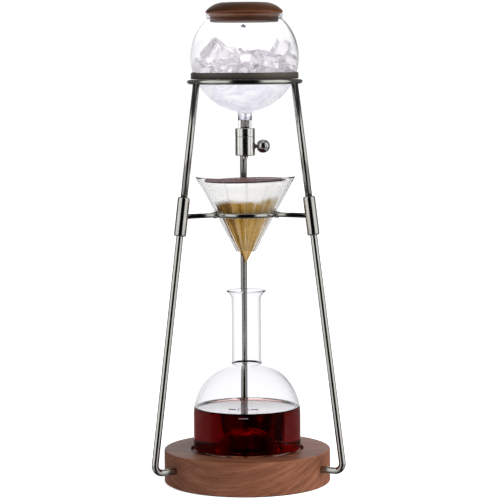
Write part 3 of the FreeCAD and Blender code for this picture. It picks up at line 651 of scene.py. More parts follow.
def grow(name, tree, start=None, crease=32.0, **values):
    """Run a tree and keep its result as a plain mesh. Values are inputs, with _ for a space."""
    holder = start or bpy.data.objects.new(name, bpy.data.meshes.new(name))
    if start is None:
        bpy.context.scene.collection.objects.link(holder)
    modifier = holder.modifiers.new("nodes", "NODES")
    modifier.node_group = tree
    for item in tree.interface.items_tree:
        if item.item_type == "SOCKET" and item.in_out == "INPUT" and item.name.replace(" ", "_") in values:
            modifier[item.identifier] = values[item.name.replace(" ", "_")]
    bpy.context.view_layer.update()
    evaluated = holder.evaluated_get(bpy.context.evaluated_depsgraph_get())
    mesh = bpy.data.meshes.new_from_object(evaluated)
    holder.modifiers.remove(modifier)
    bpy.data.objects.remove(holder)
    bm = bmesh.new()
    bm.from_mesh(mesh)
    bmesh.ops.remove_doubles(bm, verts=bm.verts, dist=1e-7)
    bmesh.ops.recalc_face_normals(bm, faces=bm.faces)
    piece = finish_mesh(name, bm, crease)
    for material in mesh.materials:
        piece.data.materials.append(material)
    return piece


print("node groups so far:", len(bpy.data.node_groups))

# %% [markdown]
# A rod is a circle pushed along a path, which is what Curve to Mesh does, and Fillet Curve makes the
# bend. The nodes take the three corners of the path, so one tree makes all the bent legs.

# %% Node tree for a bent rod
rod_tree, rod_in = group_with("bent_rod", {
    "Start": ("Vector", (0.0, 0.0, 0.0)), "Corner": ("Vector", (0.1, 0.0, 0.0)),
    "End": ("Vector", (0.1, 0.0, 0.3)), "Rod radius": ("Float", 0.004),
    "Bend radius": ("Float", 0.009), "Turn": ("Float", 0.0), "Material": ("Material", None)})
corners = add_node(rod_tree, "GeometryNodeMeshLine", Count=3)
number = add_node(rod_tree, "GeometryNodeInputIndex").outputs["Index"]
pick = rod_tree.nodes.new("GeometryNodeIndexSwitch")
pick.data_type = "VECTOR"
pick.index_switch_items.new()
rod_tree.links.new(number, pick.inputs["Index"])
for slot_number, label in enumerate(("Start", "Corner", "End")):
    rod_tree.links.new(rod_in[label], pick.inputs[slot_number + 1])
placed = add_node(rod_tree, "GeometryNodeSetPosition", Geometry=corners.outputs["Mesh"],
                  Position=pick.outputs["Output"])
path = add_node(rod_tree, "GeometryNodeMeshToCurve", Mesh=placed.outputs["Geometry"])
bend = add_node(rod_tree, "GeometryNodeFilletCurve", Curve=path.outputs["Curve"],
                Radius=rod_in["Bend radius"])
if "Mode" in bend.inputs:
    bend.inputs["Mode"].default_value = "Poly"
else:
    bend.mode = "POLY"
bend.inputs["Count"].default_value = 14
circle = add_node(rod_tree, "GeometryNodeCurvePrimitiveCircle", Resolution=40, Radius=rod_in["Rod radius"])
swept = add_node(rod_tree, "GeometryNodeCurveToMesh", Curve=bend.outputs["Curve"],
                 Profile_Curve=circle.outputs["Curve"], Fill_Caps=True)
angle = add_node(rod_tree, "ShaderNodeCombineXYZ", Z=rod_in["Turn"])
turned_rod = add_node(rod_tree, "GeometryNodeTransform", Geometry=swept.outputs["Mesh"],
                      Rotation=angle.outputs["Vector"])
close_tree(rod_tree, turned_rod.outputs["Geometry"], rod_in["Material"])
print("rod tree has", len(rod_tree.nodes), "nodes")

# %% [markdown]
# A straight rod goes on from each bent one up to the globe's ring. A sleeve covers the joint between the
# two, and a short arm reaches from the sleeve to the dripper's ring, with a bead of weld at its end.

# %% Legs, arms and sleeves
SIDES = ("rear", "left", "right")
SOCKET_END = base_radius - 30.0 * MM
BEND_RADIUS = 9.0 * MM
ARM = 2.8 * MM
BEAD = 1.0 * MM
SLEEVE_RADIUS = 7.0 * MM
SLEEVE_BORE = 4.05 * MM
SLEEVE_LENGTH = 44.7 * MM
SLEEVE_ROUND = 2.2 * MM
TOP_DROP = 1.2 * MM


def on_lean(height):
    """A point on the leg's leaning centre line, before the leg is turned to its place."""
    return (LEAN_FOOT - (height - socket_height) * LEAN, 0.0, height)


stand_pieces = []
for index, side in enumerate(SIDES):
    turn = math.radians(90 + 120 * index)
    lower_leg = grow(f"lower_rod_{side}", rod_tree, Start=(SOCKET_END, 0.0, socket_height),
                     Corner=(LEAN_FOOT, 0.0, socket_height), End=on_lean(middle_height), Rod_radius=ROD,
                     Bend_radius=BEND_RADIUS, Turn=turn, Material=gunmetal)
    top = upper_height - TOP_DROP
    length = (top - middle_height) * math.hypot(1.0, LEAN)
    upper_leg = lathe(f"upper_rod_{side}", [(0, 0), (ROD, 0), (ROD, length), (0, length)], 40,
                      leg_place(index, middle_height))
    sleeve = lathe(f"sleeve_{side}", [
        (SLEEVE_BORE, -SLEEVE_LENGTH / 2), (SLEEVE_RADIUS, -SLEEVE_LENGTH / 2, SLEEVE_ROUND),
        (SLEEVE_RADIUS, SLEEVE_LENGTH / 2, SLEEVE_ROUND), (SLEEVE_BORE, SLEEVE_LENGTH / 2)], 64,
                   leg_place(index, middle_height))
    reach = on_lean(middle_height)[0] - middle_radius - SLEEVE_BORE
    bead = middle_bar + BEAD
    arm_place = (leg_turn(index) @ Matrix.Translation((middle_radius, 0, middle_height))
                 @ Matrix.Rotation(math.radians(90), 4, "Y"))
    arm = lathe(f"arm_{side}", [
        (0, 0), (ARM + BEAD, 0), (ARM + BEAD, bead, 0.5 * MM), (ARM, bead + BEAD, 0.5 * MM),
        (ARM, reach), (0, reach)], 32, arm_place)
    for piece, node in ((lower_leg, "lower_leg"), (upper_leg, "upper_leg"), (sleeve, "leg_sleeve"),
                        (arm, "ring_arm")):
        paint(piece, gunmetal)
        stand_pieces.append((piece, f"{node}_{side}", "gunmetal"))
print(len(stand_pieces), "rods and sleeves")

# %% [markdown]
# ## Rings and cushion
# Two rings of round bar carry the glass: the wide one holds the globe on a silicone cushion, and the
# small one holds the dripper. A bar ring is a circle spun about the tower's axis. The cushion's inside
# follows the globe, so its profile ends in a bow about the globe's centre.

# %% Rings and cushion
STUB_LENGTH = 28.0 * MM
globe_radius = max(globe_high.x, globe_high.y)
globe_centre = globe_low.z + STUB_LENGTH + globe_radius
REST = 0.25 * MM


def bar_ring(name, radius, height, bar, segments=160):
    """A closed ring of round bar."""
    return lathe(name, [(radius + bar * math.cos(turn), height + bar * math.sin(turn))
                        for turn in (math.tau * step / 32 for step in range(32))], segments)


upper_ring = bar_ring("upper_ring", upper_radius, upper_height, upper_bar)
middle_ring = bar_ring("middle_ring", middle_radius, middle_height, middle_bar)
for piece, node in ((upper_ring, "globe_ring"), (middle_ring, "dripper_ring")):
    paint(piece, gunmetal)
    stand_pieces.append((piece, node, "gunmetal"))

seat = globe_radius + REST
cushion_outer = cushion_high.x


def globe_reach(height):
    """The cushion's inner radius at that height, just clear of the glass."""
    return math.sqrt(seat ** 2 - (height - globe_centre) ** 2)


ring_gap = upper_bar + REST
touch = math.sqrt(ring_gap ** 2 - (upper_radius - cushion_outer) ** 2)
inner_low = math.sqrt(ring_gap ** 2 - (upper_height - cushion_low.z) ** 2)
cushion = lathe("cushion_ring", [
    (globe_reach(cushion_low.z), cushion_low.z),
    (upper_radius - inner_low, cushion_low.z),
    bow((upper_radius, upper_height), 8),
    (cushion_outer, upper_height + touch),
    (cushion_outer, cushion_high.z, 0.8 * MM),
    (globe_reach(cushion_high.z) + 0.6 * MM, cushion_high.z, 0.3 * MM),
    bow((0, globe_centre), 10)], 160)
paint(cushion, cushion_silicone)
stand_pieces.append((cushion, "globe_cushion", "cushion_silicone"))
print("cushion", round((cushion_high.z - cushion_low.z) / MM, 1), "mm high")

# %% [markdown]
# ## Water globe
# The globe is blown into a round mould. Its mouth is ground flat for the lid, its outlet is drawn down
# to a stub, and a small vent hole at the front lets air in as the water leaves. Both walls are bows
# about the same centre.

# %% Globe
GLOBE_WALL = 2.2 * MM
MOUTH_RADIUS = 41.2 * MM
STUB_RADIUS = 8.1 * MM
STUB_WALL = 2.2 * MM
RIM_BAND = 5.0 * MM
RIM_ROUND = 0.9 * MM

bore = globe_radius - GLOBE_WALL
stub_bore = STUB_RADIUS - STUB_WALL
rim_foot = globe_high.z - RIM_BAND
rim_radius = math.sqrt(globe_radius ** 2 - (rim_foot - globe_centre) ** 2)
globe = lathe("globe_blown", [
    (stub_bore, globe_low.z, 0.5 * MM),
    (STUB_RADIUS, globe_low.z, 0.5 * MM),
    (STUB_RADIUS, globe_centre - math.sqrt(globe_radius ** 2 - STUB_RADIUS ** 2), 3.0 * MM),
    bow((0, globe_centre), 64),
    (rim_radius, rim_foot),
    (rim_radius, globe_high.z, RIM_ROUND),
    (MOUTH_RADIUS, globe_high.z, RIM_ROUND),
    (MOUTH_RADIUS, globe_centre + math.sqrt(bore ** 2 - MOUTH_RADIUS ** 2)),
    bow((0, globe_centre), 64),
    (stub_bore, globe_centre - math.sqrt(bore ** 2 - stub_bore ** 2), 1.5 * MM)], 192)
print("globe holds about", round(4 / 3 * math.pi * bore ** 3 * 1e6), "millilitres")

# %% [markdown]
# The vent is drilled with a Boolean: a turned drill is laid across the wall and cut out of it. The cut
# faces are ground, not blown, so they are rougher, and their near-black colour is painted shade that draws
# the hole dark.

# %% Vent hole
VENT_RADIUS = 1.4 * MM
VENT_RISE = 33.9 * MM
VENT_TURN = math.radians(-2.8)
FINE_BORE = 0.2 * VENT_RADIUS
WIDE_BORE = 0.68 * VENT_RADIUS
FINE_DEPTH = 6.4 * MM
WIDE_DEPTH = 9.4 * MM
DRILL_LENGTH = 12.0 * MM
drill_start = DRILL_LENGTH / 2 - math.sqrt(bore ** 2 - VENT_RISE ** 2)
drill_place = (Matrix.Rotation(VENT_TURN, 4, "Z")
               @ Matrix.Translation((0, drill_start, globe_centre + VENT_RISE))
               @ Matrix.Rotation(math.radians(90), 4, "X"))
drill = lathe("vent_drill", [
    (0, 0),
    (FINE_BORE, 0),
    (FINE_BORE, FINE_DEPTH),
    (WIDE_BORE, WIDE_DEPTH),
    (WIDE_BORE, DRILL_LENGTH),
    (0, DRILL_LENGTH)], 24, drill_place)


def carve(piece, tool, crease=32.0):
    """Cut one piece out of another and drop the tool."""
    cut = piece.modifiers.new("cut", "BOOLEAN")
    cut.operation = "DIFFERENCE"
    cut.solver = "EXACT"
    cut.object = tool
    bpy.context.view_layer.update()
    mesh = bpy.data.meshes.new_from_object(piece.evaluated_get(bpy.context.evaluated_depsgraph_get()))
    piece.modifiers.remove(cut)
    name = piece.name
    for old in (tool, piece):
        bpy.data.objects.remove(old)
    bm = bmesh.new()
    bm.from_mesh(mesh)
    return finish_mesh(name, bm, crease)


globe = carve(globe, drill)
paint(globe, clear_glass)
globe.data.materials.append(ground_edge)
to_drill = drill_place.inverted()
for face in globe.data.polygons:
    spot = to_drill @ face.center
    if math.hypot(spot.x, spot.y) < 1.25 * VENT_RADIUS and 0 < spot.z < DRILL_LENGTH:
        face.material_index = 1
print("the vent has", sum(face.material_index for face in globe.data.polygons), "ground faces")

# %% [markdown]
# ## Ice
# Ice floats in the globe, so big lumps stand out of the melt water and lean on each other. Fifteen lumps
# listed one by one give the same heap each time, where a simulation would not.

# %% Where the lumps lie
WATER_LEVEL = 470.0 * MM
LUMPS = (
    # half the size, place from the globe's centre, axis and degrees of its turn
    ((15, 14, 14), (-31, -14, 2), (0.2, 1.0, 0.3), 40),
    ((12, 12, 10), (-45, 12, -12), (0.1, 0.3, 1.0), 25),
    ((11, 10, 10), (-20, -39, -13), (1.0, 0.2, 0.4), 20),
    ((13, 12, 12), (3, -27, -5), (0.1, 0.1, 1.0), 14),
    ((14, 12, 11), (30, -21, -8), (0.9, 0.5, 0.3), 34),
    ((10, 12, 14), (41, 11, 5), (0.5, 1.0, 0.3), 30),
    ((8, 7, 7), (16, -46, -15), (0.3, 0.5, 1.0), 50),
    ((13, 12, 12), (3, 8, -5), (0.5, 1.0, 0.5), 30),
    ((13, 12, 12), (-22, 26, -3), (1.0, 0.3, 0.2), 24),
    ((13, 12, 12), (20, 33, -7), (0.3, 0.2, 1.0), 40),
    ((8, 8, 9), (-4, 42, -10), (0.6, 0.8, 0.2), 65),
    ((10, 9, 8), (47, -18, -15), (0.2, 0.4, 1.0), 35),
    ((9, 9, 9), (-47, -20, -15), (0.7, 0.2, 0.5), 30),
    ((9, 8, 7), (-4, -47, -17), (0.4, 0.1, 0.8), 55),
    ((9, 8, 9), (50, -10, -6), (0.6, 0.9, 0.1), 38))
print(len(LUMPS), "lumps, the longest", 2 * max(max(lump[0]) for lump in LUMPS), "mm")


# %% [markdown]
# A lump starts as a cube with many faces. Its corners are pulled in to a rounding, two kinds of noise
# melt it out of true, and its underside is cut off flat where the water begins. Noise vectors start from
# the clock unless they get a seed, so the seed is set and the ice comes out the same on every run.

# %% Ice lumps
FLOAT = 0.3 * MM
ICE_GAP = 0.5 * MM
ICE_ROUND = 0.30
WOBBLE_MM = 2.6
DIMPLE_MM = 0.6
noise.seed_set(7)


def edges_of(verts):
    """The edges at these vertices, each once."""
    return list(dict.fromkeys(edge for vert in verts for edge in vert.link_edges))


def ice_block(bm, half, matrix, seed, inside):
    """Add a rounded, slightly melted block to bm, kept inside the glass and above the water."""
    corner = ICE_ROUND * min(half)
    old_count = len(bm.verts)
    made = bmesh.ops.create_cube(bm, size=2.0)["verts"]
    bmesh.ops.subdivide_edges(bm, edges=edges_of(made), cuts=9, use_grid_fill=True)
    bm.verts.ensure_lookup_table()
    for vert in bm.verts[old_count:]:
        rough = Vector([vert.co[axis] * half[axis] for axis in range(3)])
        core = Vector([max(-half[axis] + corner, min(half[axis] - corner, rough[axis])) for axis in range(3)])
        skin = rough - core
        point = matrix @ (core + (skin.normalized() * corner if skin.length > 1e-9 else skin))
        wobble = noise.noise_vector(point * 48.0 + Vector((seed, 0.0, 0.0)))
        dimple = noise.noise_vector(point * 150.0 + Vector((0.0, seed, 0.0)))
        point = point + wobble * WOBBLE_MM * MM + dimple * DIMPLE_MM * MM
        point.z = max(point.z, WATER_LEVEL + FLOAT - globe_centre)
        if point.length > inside:
            point = point * (inside / point.length)
        vert.co = point + Vector((0, 0, globe_centre))


ice_mesh = bmesh.new()
for index, (half, at, axis, degrees) in enumerate(LUMPS):
    matrix = Matrix.Translation(Vector(at) * MM) @ Matrix.Rotation(math.radians(degrees), 4, Vector(axis))
    ice_block(ice_mesh, Vector(half) * MM, matrix, 3.7 * index, bore - ICE_GAP)
ice = finish_mesh("ice", ice_mesh, 180.0)
print("ice reaches", round(max(vert.co.z for vert in ice.data.vertices) / MM, 1), "mm")


# %% [markdown]
# Ice that froze fast is milky inside and clear outside. So the shader mixes clear, wet ice with a soft
# white that shows through in cloudy patches, and fine noise stands for the cracks in its skin. The melt
# water in the bowl is full of small bits of ice, which makes it milky too. In the stub it is clear.

# %% Ice and water
ice_material, shader, place = see_through("ice", grey(1.0), 1.30)
cloud = speckle(place, 45.0, 5.0, 0.6, 0.4)
frost = between(cloud, 0.42, 0.68, 0.01, 0.26)
skin = speckle(place, 160.0, 4.0)
# The faint emission is painted light, a glow that stands in for light passing through the ice.
fill(shader, Transmission_Weight=math_node("SUBTRACT", 1.0, frost),
     Roughness=between(skin, 0.3, 0.7, 0.0, 0.10),
     Base_Color=mixed(cloud, (0.96, 0.94, 0.955), (0.89, 0.865, 0.895)),
     Emission_Color=(1.0, 0.98, 1.0), Emission_Strength=0.05)
fine_cracks = product(speckle(place, 260.0, 3.0, 0.6), 0.35)
bump(shader, total(speckle(place, 90.0, 3.0, 0.5), fine_cracks), 0.80 * MM)
paint(ice, ice_material)

SLUSH_LOW = globe_low.z + 25.0 * MM
SLUSH_FADE = 6.0 * MM
water_material, shader, place = see_through("melt_water", grey(1.0), 1.25, 0.22)
slush = speckle(stretched(place, (30.0, 30.0, 75.0)), 1.0, 5.0, 0.65, 1.2)
in_bowl = between(from_axis(place)[1], SLUSH_LOW, SLUSH_LOW + SLUSH_FADE, 0.0, 1.0)
milk = product(between(slush, 0.35, 0.65, 0.55, 0.85), in_bowl)
lumpy = between(slush, 0.40, 0.60, 0.0, 1.0)
# The emission in the bowl is painted light, a glow that stands in for light passing through the slush.
fill(shader, Transmission_Weight=math_node("SUBTRACT", 1.0, milk),
     Base_Color=mixed(lumpy, (0.66, 0.64, 0.74), (0.99, 0.99, 1.0)),
     Emission_Color=(0.98, 0.97, 1.0), Emission_Strength=product(in_bowl, 0.35))
bump(shader, slush, 1.2 * MM)
print("ice and slush:", ice_material.name, water_material.name)

# %% [markdown]
# The water's body follows the globe's inner wall. A film of air between water and glass would look
# wrong, so the water reaches a hair into the wall, and it climbs a little up the glass at its brim.

# %% Melt water
SWALLOW = 0.15 * MM
WATER_CLIMB = 1.2 * MM
stub_floor = spigot_high.z
wet_bore = bore + SWALLOW
wet_stub = stub_bore + SWALLOW
brim = math.sqrt(wet_bore ** 2 - (WATER_LEVEL + WATER_CLIMB - globe_centre) ** 2)
water = lathe("melt_water", [
    (0, stub_floor),
    (wet_stub, stub_floor),
    (wet_stub, globe_centre - math.sqrt(wet_bore ** 2 - wet_stub ** 2), 1.4 * MM),
    bow((0, globe_centre), 48),
    (brim, WATER_LEVEL + WATER_CLIMB),
    (brim - 2.4 * MM, WATER_LEVEL, 2.0 * MM),
    (0, WATER_LEVEL)], 160, crease=60.0)
paint(water, water_material)
print("melt water up to", round(WATER_LEVEL / MM), "mm")

# %% [markdown]
# ## Lid
# The lid is turned in one piece: a plug that fits the mouth, an overhang that is undercut so that
# fingers can lift it, and a low crown.

# %% Lid
LID_SEAT = globe_high.z + REST
lid_edge = max(lid_high.x, lid_high.y)
plug_radius = MOUTH_RADIUS - 1.8 * MM
edge_low = LID_SEAT + 1.0 * MM
edge_high = edge_low + 0.9 * MM
crown_radius = 27.0 * MM
crown = lid_high.z - 0.8 * MM


def bow_centre(start, end, radius):
    """Centre of the bow of that radius from start to end that bulges away from the axis' foot."""
    a, b = Vector(start), Vector(end)
    half = (b - a) / 2
    side = Vector((-half.y, half.x)).normalized()
    return (a + b) / 2 + side * math.sqrt(radius ** 2 - half.length_squared)


lid = lathe("lid_turned", [
    (0, lid_low.z),
    (plug_radius, lid_low.z, 0.9 * MM),
    (plug_radius, LID_SEAT, 0.2 * MM),
    (MOUTH_RADIUS + 1.8 * MM, LID_SEAT, 0.3 * MM),
    (lid_edge, edge_low, 0.35 * MM),
    (lid_edge, edge_high),
    bow(bow_centre((lid_edge, edge_high), (crown_radius, crown), 27.5 * MM), 12),
    (crown_radius, crown, 1.5 * MM),
    (0, lid_high.z)], 160)
paint(lid, lid_walnut)
print("lid is", round(2 * lid_edge / MM, 1), "mm across")

# %% [markdown]
# ## Drip valve
# Under the globe, a cap nut squeezes a seal round the stub and holds the valve block, and the nozzle
# below it forms the drops. All these parts are turned about the tower's axis.

# %% Valve block, nut and nozzle
FIT = 0.05 * MM
NECK_RADIUS = 10.0 * MM
NECK_HEIGHT = 4.6 * MM
NUT_DEPTH = 2.9 * MM
VALVE_BORE = 3.1 * MM
THREAD = 3.0 * MM
DRIP_BORE = 0.9 * MM
SPIGOT_RADIUS = 5.2 * MM
SPIGOT_BORE = 1.6 * MM
SCREEN_SEAT = 4.25 * MM
valve_radius = valve_high.x
shoulder = valve_high.z - NECK_HEIGHT
stub_fit = STUB_RADIUS + FIT
spindle_height = (knob_low.z + knob_high.z) / 2
valve = lathe("valve_turned", [
    (VALVE_BORE, valve_low.z, 0.2 * MM),
    (valve_radius, valve_low.z, 1.0 * MM),
    (valve_radius, shoulder, 0.35 * MM),
    (NECK_RADIUS, shoulder),
    (NECK_RADIUS, valve_high.z),
    (stub_fit, valve_high.z),
    (stub_fit, shoulder - 1.0 * MM),
    (VALVE_BORE, shoulder - 1.0 * MM)], 128)
cap_nut = lathe("nut_turned", [
    (NECK_RADIUS + FIT, nut_low.z),
    (valve_radius, nut_low.z, 0.35 * MM),
    (valve_radius, nut_high.z, 1.0 * MM),
    (stub_fit, nut_high.z, 0.3 * MM),
    (stub_fit, nut_high.z - NUT_DEPTH),
    (NECK_RADIUS + FIT, nut_high.z - NUT_DEPTH)], 128)
nozzle = lathe("nozzle_turned", [
    (DRIP_BORE, nozzle_low.z, 0.1 * MM),
    (2.5 * MM, nozzle_low.z, 0.3 * MM),
    (3.7 * MM, valve_low.z),
    (THREAD, valve_low.z),
    (THREAD, nozzle_high.z),
    (DRIP_BORE, nozzle_high.z)], 64)
spigot = lathe("spigot_turned", [
    (SPIGOT_BORE, spigot_low.z),
    (SPIGOT_RADIUS, spigot_low.z),
    (SPIGOT_RADIUS, spigot_high.z, 0.3 * MM),
    (SCREEN_SEAT, spigot_high.z),
    (SCREEN_SEAT, spigot_high.z - 0.8 * MM),
    (SPIGOT_BORE, spigot_high.z - 5.0 * MM)], 96)
for piece in (valve, cap_nut, nozzle):
    paint(piece, valve_chrome)
paint(spigot, spigot_steel)
print("valve block is", round(2 * valve_radius / MM, 1), "mm across")

# %% [markdown]
# The needle lies across the block. Its point closes the passage, a small gland nut holds its seals, and
# the ball at its end is big enough to be turned by two fingers.

# %% Needle, gland nut and knob
KNOB_SHOULDER = 7.0 * MM
STEM_RADIUS = 2.0 * MM
GLAND_RADIUS = 4.15 * MM
STEM_POINT = 2.5 * MM
across = along_x(spindle_height)
stem_fit = STEM_RADIUS + FIT
knob_radius = (knob_high.z - knob_low.z) / 2
knob_centre = knob_high.x - knob_radius
neck_width = math.sqrt(knob_radius ** 2 - KNOB_SHOULDER ** 2)
stem = lathe("stem_turned", [
    (0, stem_low.x),
    (STEM_RADIUS, stem_low.x + STEM_POINT),
    (STEM_RADIUS, stem_high.x),
    (0, stem_high.x)], 48, across)
gland = lathe("gland_turned", [
    (stem_fit, gland_low.x),
    (GLAND_RADIUS, gland_low.x),
    (GLAND_RADIUS, gland_low.x + 1.6 * MM, 0.15 * MM),
    (2.8 * MM, gland_high.x, 0.2 * MM),
    (stem_fit, gland_high.x)], 64, across)
knob = lathe("knob_turned", [
    (stem_fit, knob_low.x),
    (neck_width, knob_low.x, 0.15 * MM),
    bow((0, knob_centre), 40),
    (0, knob_high.x),
    (0, stem_high.x + FIT),
    (stem_fit, stem_high.x + FIT)], 96, across)
paint(stem, spindle_steel)
paint(gland, valve_chrome)
paint(knob, knob_chrome)
print("knob ball is", round(2 * knob_radius / MM, 1), "mm across")

# %% [markdown]
# ## Pressed glass dripper
# The cone is pressed in a mould, so its inside has straight ribs that keep the paper off the glass and
# let the coffee run down. The wall itself is one straight profile, with a small band at the rim.

# %% Dripper cone
CONE_WALL = 2.6 * MM
TIP_RADIUS = 11.2 * MM
RIM_BAND_CONE = 1.5 * MM
cone_rim_radius = max(cone_high.x, cone_high.y)
cone_height = cone_high.z - cone_low.z
cone_slope = (cone_rim_radius - TIP_RADIUS) / (cone_height - RIM_BAND_CONE)
wall_across = CONE_WALL * math.hypot(1.0, cone_slope)
bowl_tip = TIP_RADIUS - wall_across
bowl_rim = cone_rim_radius - wall_across
cone = lathe("cone_pressed", [
    (bowl_tip, cone_low.z, 0.6 * MM),
    (TIP_RADIUS, cone_low.z, 0.6 * MM),
    (cone_rim_radius, cone_high.z - RIM_BAND_CONE, 0.5 * MM),
    (cone_rim_radius, cone_high.z, 0.6 * MM),
    (bowl_rim, cone_high.z, 0.6 * MM)], 192)

print("cone is", round(2 * cone_rim_radius / MM), "mm across at its rim")

# %% [markdown]
# The ribs repeat about the axis, so nodes suit them: they push a small circle along one rib's line, turn
# twelve such ribs about Z and join them to the cone as one piece of glass.

# %% Node tree for ribs
rib_tree, rib_in = group_with("ribbed_cone", {
    "Count": ("Int", 12), "Foot": ("Vector", (0.0, 0.0, 0.0)), "Head": ("Vector", (0.0, 0.0, 0.1)),
    "Width": ("Float", 0.002), "Material": ("Material", None)})
spine = add_node(rib_tree, "GeometryNodeCurvePrimitiveLine", Start=rib_in["Foot"], End=rib_in["Head"])
bar = add_node(rib_tree, "GeometryNodeCurvePrimitiveCircle", Resolution=12, Radius=rib_in["Width"])
rib = add_node(rib_tree, "GeometryNodeCurveToMesh", Curve=spine.outputs["Curve"],
               Profile_Curve=bar.outputs["Curve"], Fill_Caps=True)
points = add_node(rib_tree, "GeometryNodePoints", Count=rib_in["Count"])
rib_number = add_node(rib_tree, "GeometryNodeInputIndex").outputs["Index"]
rib_angle = product(rib_number, math_node("DIVIDE", math.tau, rib_in["Count"]))
rib_turn = add_node(rib_tree, "ShaderNodeCombineXYZ", Z=rib_angle)
ring_of_ribs = add_node(rib_tree, "GeometryNodeInstanceOnPoints", Points=points.outputs["Points"],
                        Instance=rib.outputs["Mesh"], Rotation=rib_turn.outputs["Vector"])
real_ribs = add_node(rib_tree, "GeometryNodeRealizeInstances", Geometry=ring_of_ribs.outputs["Instances"])
union = gather(rib_tree, "GeometryNodeMeshBoolean", "Mesh 2",
               (rib_in["Geometry"], real_ribs.outputs["Geometry"]))
union.operation = "UNION"
close_tree(rib_tree, union.outputs["Mesh"], rib_in["Material"])
print("rib tree has", len(rib_tree.nodes), "nodes")

# %% [markdown]
# Each rib follows the slope of the paper, a tenth of a millimetre clear of it, and ends below the rim.

# %% Ribs in the cone
RIB_STOP = 6.0 * MM
PAPER_GAP = 0.1 * MM
RIB_WIDTH = 1.1 * MM
paper_radius = max(paper_high.x, paper_high.y)
paper_slope = paper_radius / (paper_high.z - paper_low.z)


def paper_reach(height):
    """Outer radius of the paper cone at that height."""
    return (height - paper_low.z) * paper_slope


rib_stand = PAPER_GAP + RIB_WIDTH * 1.15
foot, head = cone_low.z + 1.0 * MM, cone_high.z - RIB_STOP
cone = grow("cone_pressed", rib_tree, start=cone, crease=28.0, Count=12,
            Foot=(paper_reach(foot) + rib_stand, 0.0, foot), Head=(paper_reach(head) + rib_stand, 0.0, head),
            Width=RIB_WIDTH, Material=pressed_glass)
print("cone with ribs:", len(cone.data.polygons), "faces")

# %% [markdown]
# ## Paper and coffee grounds
# The paper is a thin folded cone, drawn here as one seamless cone with a real wall. It stays white and
# dry above the grounds, and coffee soaks it brown below, in streaks that run down to a pale tip.

# %% Paper filter
PAPER_WALL = 0.5 * MM * math.hypot(1.0, paper_slope)
GROUNDS_TOP = 328.0 * MM
paper_top = min(paper_high.z, disc_low.z + 0.6 * MM)
paper = lathe("paper_folded", [
    (0, paper_low.z),
    (paper_reach(paper_top), paper_top),
    (paper_reach(paper_top) - PAPER_WALL, paper_top),
    (0, paper_low.z + PAPER_WALL / paper_slope)], 192, crease=60.0)
print("paper is", round(2 * paper_reach(paper_top) / MM), "mm across at its top")

# %% [markdown]
# The stain runs down the folds. Divided by the cone's radius at its height, X and Y hardly change along
# a line to the tip, so noise on them makes streaks that fan out from it. Broad streaks stand for the
# folds and fine ones for the fibres. The wet line wanders, and lies a little lower on one side.

# %% Stain on the paper
WET_EDGE = 3.0 * MM
WET_WANDER = 13.0 * MM
WET_TILT = -0.08
SIDE_FADE = 5.0
TIP_BAND = (278.0 * MM, 268.0 * MM)
SEAM_BAND = (270.0 * MM, 266.0 * MM)
SEAM_SIDE = (-0.74, -0.50)
STAIN = ((0.34, (0.17, 0.075, 0.014)), (0.48, (0.45, 0.24, 0.042)), (0.60, (0.66, 0.41, 0.12)),
         (0.78, (0.97, 0.82, 0.56)))
paper_material, shader, place = new_material("filter_paper")
paper_tree = shader.id_data
split = add_node(paper_tree, "ShaderNodeSeparateXYZ", Vector=place).outputs
up = split["Z"]
cone_here = product(math_node("SUBTRACT", up, paper_low.z), paper_slope)
cone_here = math_node("MAXIMUM", cone_here, 0.5 * MM)
across_tip = math_node("DIVIDE", split["X"], cone_here)
ahead_tip = math_node("DIVIDE", split["Y"], cone_here)
fan = add_node(paper_tree, "ShaderNodeCombineXYZ", X=across_tip, Y=ahead_tip, Z=up).outputs["Vector"]
folds = speckle(stretched(fan, (3.1, 3.1, 7.0)), 1.0, 2.0, 0.5, 0.10)
fibres = speckle(stretched(fan, (11.0, 11.0, 14.0)), 1.0, 4.0, 0.6, 0.15)
streaks = total(product(folds, 0.62), product(fibres, 0.38))
blots = speckle(place, 55.0, 4.0, 0.6, 0.6)
ebb = math_node("SUBTRACT", speckle(place, 38.0, 2.0, 0.5, 0.3), 0.5)
level = total(total(up, product(ebb, WET_WANDER)), product(split["X"], WET_TILT))
soak = between(level, GROUNDS_TOP - WET_EDGE, GROUNDS_TOP + WET_EDGE, 1.0, 0.0)
soaked = total(product(streaks, 1.05), product(blots, 0.10))
stain = ramp(total(soaked, product(split["X"], SIDE_FADE)), *STAIN)
tip_share = between(up, *TIP_BAND, 0.0, 0.45)
wet_tone = mixed(tip_share, stain, (0.42, 0.26, 0.10))
# A painted shadow draws a dark line along the folded seam's flap, low on the left of the tip.
seam_painted_shadow = product(between(across_tip, *SEAM_SIDE, 1.0, 0.0),
               between(up, *SEAM_BAND, 0.0, 1.0))
wet_tone = mixed(seam_painted_shadow, wet_tone, (0.10, 0.05, 0.015))
# The dry paper's emission is painted light, a glow that brightens it behind the glass.
fill(shader, Base_Color=mixed(soak, (1.0, 0.99, 0.98), wet_tone), IOR=1.1, Roughness=0.8,
     Transmission_Weight=between(soak, 0.0, 1.0, 0.30, 0.10),
     Emission_Color=grey(1.0), Emission_Strength=between(soak, 0.0, 1.0, 0.25, 0.0))
bump(shader, total(streaks, speckle(place, 900.0)), 0.12 * MM)
paint(paper, paper_material)
print("paper:", len(paper_tree.nodes), "nodes")

# %% [markdown]
# The grounds fill the paper to a little below the disc and sink towards the middle, where the water
# lands. Voronoi cells bump the surface into crumbs.

